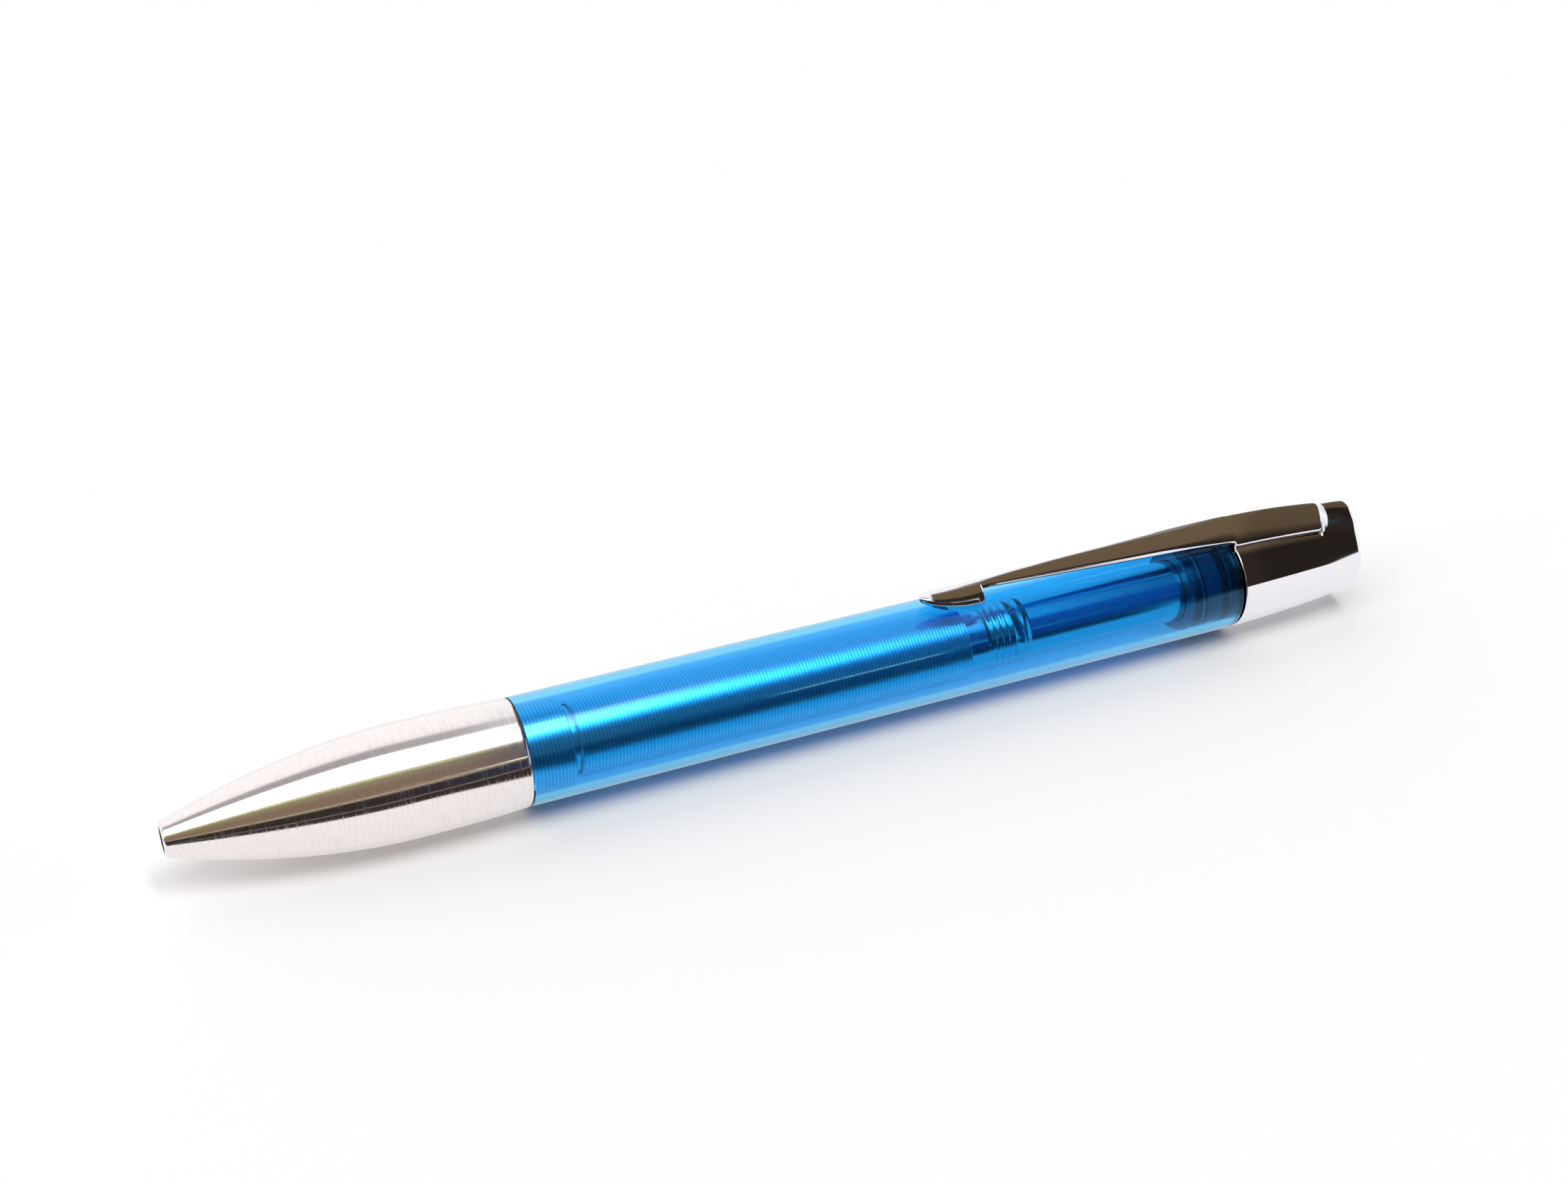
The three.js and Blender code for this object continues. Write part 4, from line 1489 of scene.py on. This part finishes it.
@dataclass
class Studio:
    """The pale table, the camera and the light round the pen."""

    table: float = 2.4  # m, side of the table
    lens: float = 48.82

    def build_table(self) -> None:
        """Makes the table and its matt white finish."""
        half = self.table / 2
        mesh = bpy.data.meshes.new("table")
        mesh.from_pydata(
            [(-half, -half, 0), (half, -half, 0), (half, half, 0), (-half, half, 0)], [], [(0, 1, 2, 3)]
        )
        table = bpy.data.objects.new("table", mesh)
        bpy.context.scene.collection.objects.link(table)
        material = new_material("matt_white_paper")
        tree = material.node_tree
        place = add_node(tree, "ShaderNodeNewGeometry").outputs["Position"]
        split = add_node(tree, "ShaderNodeSeparateXYZ", {0: place})
        # painted reflection: a dark patch in front of the pen, nearer to it beside the barrel and none by the
        # cap;
        # only rays other than the camera's see it, so the metal mirrors dark where the camera sees white
        # sheet
        front = add_node(
            tree,
            "ShaderNodeMapRange",
            {
                "Value": split.outputs["X"],
                "From Min": -0.034,
                "From Max": -0.024,
                "To Min": -0.038,
                "To Max": -0.019,
            },
        )
        past = add_node(
            tree, "ShaderNodeMath", {0: front.outputs[0], 1: split.outputs["Y"]}, operation="SUBTRACT"
        )
        near = add_node(
            tree,
            "ShaderNodeMapRange",
            {"Value": past.outputs[0], "From Min": -0.002, "From Max": 0.003},
        )
        slant = add_node(
            tree,
            "ShaderNodeMath",
            {0: split.outputs["Y"], 1: 0.65, 2: split.outputs["X"]},
            operation="MULTIPLY_ADD",
        )
        left = add_node(
            tree,
            "ShaderNodeMapRange",
            {"Value": slant.outputs[0], "From Min": 0.034, "From Max": 0.040, "To Min": 1.0, "To Max": 0.0},
        )
        reflected_dark_zone = add_node(
            tree, "ShaderNodeMath", {0: near.outputs[0], 1: left.outputs[0]}, operation="MULTIPLY"
        )
        rays = add_node(tree, "ShaderNodeLightPath")
        unseen = add_node(
            tree, "ShaderNodeMath", {0: 1.0, 1: rays.outputs["Is Camera Ray"]}, operation="SUBTRACT"
        )
        far = add_node(
            tree, "ShaderNodeMath", {0: reflected_dark_zone.outputs[0], 1: unseen.outputs[0]}, operation="MULTIPLY"
        )
        sheet = add_node(
            tree,
            "ShaderNodeMix",
            {0: rays.outputs["Is Camera Ray"], 6: linear("#FAF7F6"), 7: linear("#FEFEFF")},
            data_type="RGBA",
        )
        # painted reflection: inside the patch the sheet turns dark brown for all but camera rays
        colour = add_node(
            tree,
            "ShaderNodeMix",
            {0: far.outputs[0], 6: sheet.outputs[2], 7: linear("#352D2A")},
            data_type="RGBA",
        )
        paper = add_node(tree, "ShaderNodeBsdfDiffuse", {"Color": colour.outputs[2]})
        # metal and glass show the sheet as the pale background, with the pen's shadow only faint on it
        plain = add_node(tree, "ShaderNodeEmission", {"Color": linear("#FDFCFE"), "Strength": 1.0})
        bounced = add_node(
            tree,
            "ShaderNodeMath",
            {0: rays.outputs["Is Transmission Ray"], 1: 0.5, 2: rays.outputs["Is Glossy Ray"]},
            operation="MULTIPLY_ADD",
        )
        bounced.use_clamp = True
        close = add_node(tree, "ShaderNodeMath", {0: 0.62, 1: far.outputs[0]}, operation="SUBTRACT")
        close.use_clamp = True
        shown = add_node(
            tree, "ShaderNodeMath", {0: bounced.outputs[0], 1: close.outputs[0]}, operation="MULTIPLY"
        )
        seen = add_node(
            tree, "ShaderNodeMixShader", {0: shown.outputs[0], 1: paper.outputs[0], 2: plain.outputs[0]}
        )
        add_node(tree, "ShaderNodeOutputMaterial", {"Surface": seen.outputs[0]})
        mesh.materials.append(material)

    def build_camera(self) -> None:
        """Sets the camera where the photograph was taken from."""
        right = Vector((0.9147, -0.4040, 0.0)).normalized()
        forward = Vector((0.3443, 0.7796, -0.5231)).normalized()
        up = right.cross(forward).normalized()
        data = bpy.data.cameras.new("camera")
        data.sensor_width = 36.0
        data.lens = self.lens
        data.clip_start = 0.01
        camera = bpy.data.objects.new("camera", data)
        matrix = Matrix((right, up, -forward)).transposed().to_4x4()
        matrix.translation = Vector((-76.2, -165.7, 128.25)) * MM
        camera.matrix_world = matrix
        bpy.context.scene.collection.objects.link(camera)
        bpy.context.scene.camera = camera

    def build_light(self) -> None:
        """Lights the pen from all round: a long soft box overhead, a pale backdrop and a dim room in front.

        The room's pattern is in four parts by direction along the pen. Each part is tuned, with its tint, to
        what the nose, the barrel, the housing and the cap mirror at the photo's angle.
        """
        world = bpy.data.worlds.new("studio")
        bpy.context.scene.world = world
        world.use_nodes = True
        tree = world.node_tree
        tree.nodes.clear()
        way = add_node(tree, "ShaderNodeTexCoord").outputs["Generated"]
        split = add_node(tree, "ShaderNodeSeparateXYZ", {0: way})
        front = add_node(tree, "ShaderNodeMath", {0: split.outputs["Y"], 1: -1.0}, operation="MULTIPLY")
        climb = add_node(
            tree, "ShaderNodeMath", {0: split.outputs["Z"], 1: front.outputs[0]}, operation="ARCTAN2"
        )
        climb = add_node(
            tree, "ShaderNodeMath", {0: climb.outputs[0], 1: 180 / math.pi}, operation="MULTIPLY"
        )
        lean = add_node(tree, "ShaderNodeMath", {0: split.outputs["X"]}, operation="ARCSINE")
        lean = add_node(tree, "ShaderNodeMath", {0: lean.outputs[0], 1: 180 / math.pi}, operation="MULTIPLY")
        share = add_node(tree, "ShaderNodeMath", {0: climb.outputs[0], 1: 1 / 180}, operation="MULTIPLY")

        def bands(
            stops: Sequence[tuple[float, tuple[float, ...]]],
        ) -> tuple[bpy.types.NodeSocket, bpy.types.NodeSocket]:
            """Gives the light by how far a direction has climbed from the front, in degrees.

            Args:
                stops: climbs, and colours whose fourth part says where the light is brighter than white.

            Returns:
                The colour and that fourth part.
            """
            ramp = add_node(tree, "ShaderNodeValToRGB", {0: share.outputs[0]})
            knots = ramp.color_ramp.elements
            for i, (angle, colour) in enumerate(stops):
                knot = knots[i] if i < 2 else knots.new(angle / 180)
                knot.position = angle / 180
                knot.color = (*colour, 0.0) if len(colour) == 3 else colour
            return ramp.outputs["Color"], ramp.outputs["Alpha"]

        room = (0.034, 0.026, 0.022)
        box = (1.0, 1.0, 1.0, 1.0)
        by_nose = bands(
            [
                (0, room),
                (16.5, room),
                (18.0, (0.44, 0.36, 0.27)),
                (20.5, (0.44, 0.36, 0.27)),
                (22.0, (0.25, 0.172, 0.115)),
                (36.0, (0.25, 0.175, 0.120)),
                (46.0, (0.29, 0.255, 0.145)),
                (50.5, (0.29, 0.255, 0.145)),
                (51.5, (0.62, 0.62, 0.34)),
                (55.5, (0.62, 0.62, 0.34)),
                (57.0, box),
                (93.0, box),
                (95.5, (0.40, 0.38, 0.375)),
                (110.0, (0.42, 0.40, 0.395)),
                (116.0, (0.95, 0.935, 0.93)),
                (130.0, (1.0, 0.985, 0.985)),
                (180.0, (1.0, 0.99, 0.99)),
            ]
        )
        by_barrel = bands(
            [
                (0, (0.038, 0.033, 0.046)),
                (22.0, (0.038, 0.033, 0.046)),
                (28.0, (0.165, 0.112, 0.085)),
                (54.0, (0.165, 0.118, 0.090)),
                (60.0, box),
                (96.0, box),
                (100.0, (0.80, 0.80, 0.82)),
                (180.0, (0.95, 0.95, 0.97)),
            ]
        )
        by_housing = bands(
            [
                (0, (0.05, 0.11, 0.20)),
                (18.0, (0.06, 0.14, 0.24)),
                (40.0, (0.09, 0.19, 0.30)),
                (58.0, (0.07, 0.15, 0.26)),
                (95.0, (0.08, 0.16, 0.27)),
                (109.0, (0.40, 0.56, 0.78)),
                (128.0, (0.88, 0.95, 1.0)),
                (180.0, (1.0, 1.0, 1.0)),
            ]
        )
        black = (0.027, 0.020, 0.016)
        by_cap = bands(
            [
                (0, black),
                (76.0, black),
                (93.0, (0.145, 0.099, 0.056)),
                (152.0, (0.155, 0.108, 0.060)),
                (163.0, (0.27, 0.23, 0.215)),
                (180.0, (0.27, 0.23, 0.215)),
            ]
        )

        def step(
            value: bpy.types.NodeSocket, low: float, high: float, to: float = 1.0
        ) -> bpy.types.NodeSocket:
            """Runs smoothly from 0 at one value to a height at another."""
            return add_node(
                tree,
                "ShaderNodeMapRange",
                {"Value": value, "From Min": low, "From Max": high, "To Min": 0.0, "To Max": to},
                interpolation_type="SMOOTHSTEP",
            ).outputs[0]

        def both_of(a: bpy.types.NodeSocket, b: bpy.types.NodeSocket) -> bpy.types.NodeSocket:
            """Multiplies two values."""
            return add_node(tree, "ShaderNodeMath", {0: a, 1: b}, operation="MULTIPLY").outputs[0]

        def mixed(
            part: bpy.types.NodeSocket, one: object, other: object, kind: str
        ) -> bpy.types.NodeSocket:
            """Goes from one colour or value to another by a share."""
            first, second, out = (6, 7, 2) if kind == "RGBA" else (2, 3, 0)
            return add_node(
                tree, "ShaderNodeMix", {0: part, first: one, second: other}, data_type=kind
            ).outputs[out]

        light, over = by_nose
        parts = ((14.0, 16.5, by_barrel), (24.8, 26.5, by_housing), (30.5, 32.3, by_cap))
        for low, high, (colour, bright) in parts:
            there = step(lean.outputs[0], low, high)
            light = mixed(there, light, colour, "RGBA")
            over = mixed(there, over, bright, "FLOAT")
        # the room's front is bluer beside the barrel
        blue = both_of(
            both_of(step(lean.outputs[0], 18.0, 21.0), step(lean.outputs[0], 32.3, 30.5)),
            step(climb.outputs[0], 60.0, 54.0),
        )
        cooled = add_node(
            tree,
            "ShaderNodeMix",
            {0: 1.0, 6: light, 7: (0.65, 1.0, 1.75, 1.0)},
            data_type="RGBA",
            blend_type="MULTIPLY",
        )
        light = mixed(blue, light, cooled.outputs[2], "RGBA")
        # the overhead box is brighter than white, less so to the right, and brightest before its own lamp
        fade = add_node(
            tree,
            "ShaderNodeMapRange",
            {"Value": lean.outputs[0], "From Min": 11.0, "From Max": 19.0, "To Min": 1.0, "To Max": 0.42},
        )
        gain = add_node(
            tree, "ShaderNodeMath", {0: over, 1: fade.outputs[0], 2: 1.0}, operation="MULTIPLY_ADD"
        ).outputs[0]
        lamp = both_of(
            both_of(step(lean.outputs[0], 7.5, 11.0), step(lean.outputs[0], 20.0, 11.0)),
            both_of(step(climb.outputs[0], 60.0, 64.0), step(climb.outputs[0], 88.0, 82.0, 12.0)),
        )
        # the backdrop behind the nose and the barrel is lit
        behind = both_of(step(climb.outputs[0], 112.0, 125.0, 0.09), step(lean.outputs[0], 32.3, 30.5))
        for more in (lamp, behind):
            gain = add_node(tree, "ShaderNodeMath", {0: gain, 1: more}, operation="ADD").outputs[0]
        # the room darkens to the right
        gain = both_of(gain, mixed(step(lean.outputs[0], 34.5, 38.0), 1.0, 0.72, "FLOAT"))
        # a white panel stands beyond the pen's rear end
        rise = add_node(
            tree, "ShaderNodeMath", {0: lean.outputs[0], 1: 4.0, 2: -4.0 * 43}, operation="MULTIPLY_ADD"
        )
        rise = add_node(
            tree, "ShaderNodeMath", {0: rise.outputs[0], 1: climb.outputs[0]}, operation="SUBTRACT"
        )
        panel = step(rise.outputs[0], -1.5, 1.5)
        light = mixed(panel, light, (0.98, 0.98, 1.0, 1.0), "RGBA")
        gain = mixed(panel, gain, 1.0, "FLOAT")
        # a lit gap between two curtains draws one fine line on the barrel
        gap = both_of(
            both_of(step(lean.outputs[0], 18.4, 20.0), step(lean.outputs[0], 24.5, 23.5)),
            both_of(step(climb.outputs[0], 20.8, 21.2), step(climb.outputs[0], 22.6, 22.2)),
        )
        light = mixed(gap, light, (1.0, 0.95, 0.62, 1.0), "RGBA")
        gain = mixed(gap, gain, 10.0, "FLOAT")
        below = add_node(tree, "ShaderNodeMath", {0: split.outputs["Z"], 1: 0.0}, operation="LESS_THAN")
        light = mixed(below.outputs[0], light, (0.9, 0.9, 0.9, 1.0), "RGBA")
        gain = mixed(below.outputs[0], gain, 1.0, "FLOAT")
        shine = add_node(tree, "ShaderNodeBackground", {"Color": light, "Strength": gain})
        white = add_node(tree, "ShaderNodeBackground", {"Color": (1.0, 1.0, 1.0, 1.0), "Strength": 1.0})
        rays = add_node(tree, "ShaderNodeLightPath")
        both = add_node(
            tree,
            "ShaderNodeMixShader",
            {0: rays.outputs["Is Camera Ray"], 1: shine.outputs[0], 2: white.outputs[0]},
        )
        add_node(tree, "ShaderNodeOutputWorld", {"Surface": both.outputs[0]})


def main() -> None:
    """Builds the studio and dresses the pen, piece by piece."""
    logging.basicConfig(level=logging.INFO, format="%(name)s: %(message)s")
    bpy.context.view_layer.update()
    studio = Studio()
    studio.build_camera()
    studio.build_table()
    studio.build_light()
    bpy.context.scene.view_settings.view_transform = "Standard"

    steel = FineTurnedSteel().material()
    ringed = RingTurnedAluminium().material()
    plain = DrawnMetal("drawn_aluminium", "#E6E8EA", roughness=0.2).material()
    dull = DrawnMetal("dull_turned_aluminium", "#7E848E", roughness=0.3).material()
    acrylic = ClearBlueAcrylic().material()
    chrome = MirrorChrome().material()
    grey = MouldedPlastic("moulded_grey_acetal", "#2A2D31", "#3A3E43", roughness=0.22).material()
    black = MouldedPlastic("moulded_black_abs", "#0A0B0D", "#15171A", roughness=0.3).material()
    graphite = MouldedPlastic("moulded_graphite_abs", "#3A3A50", "#4C4C66", roughness=0.22).material()
    rubber = MouldedPlastic("moulded_nitrile_rubber", "#0C0C0C", "#181818", roughness=0.75).material()
    ink = MouldedPlastic("blue_ink_paste", "#07124A", "#0C1A66", roughness=0.25).material()
    wire = DrawnMetal("drawn_spring_steel", "#B9B7B4", roughness=0.28).material()
    nickel = DrawnMetal("nickel_plated_brass", "#D8D2C4", roughness=0.22).material()

    Nose().build(steel)
    Barrel().build(acrylic)
    Works().build(ringed, plain, dull)
    Cap().build(chrome, graphite, black)
    Clip().build(chrome)

    dress(grey, "cam_sleeve", "plunger")
    dress(plain, "drive_stem")
    dress(wire, "follower_pin", "refill_ball", "refill_spring")
    dress(rubber, "friction_ring")
    dress(black, "cap_insert", "refill_plug")
    dress(nickel, "refill_tube", "refill_tip")
    dress(ink, "ink_column")


if __name__ == "__main__":
    main()
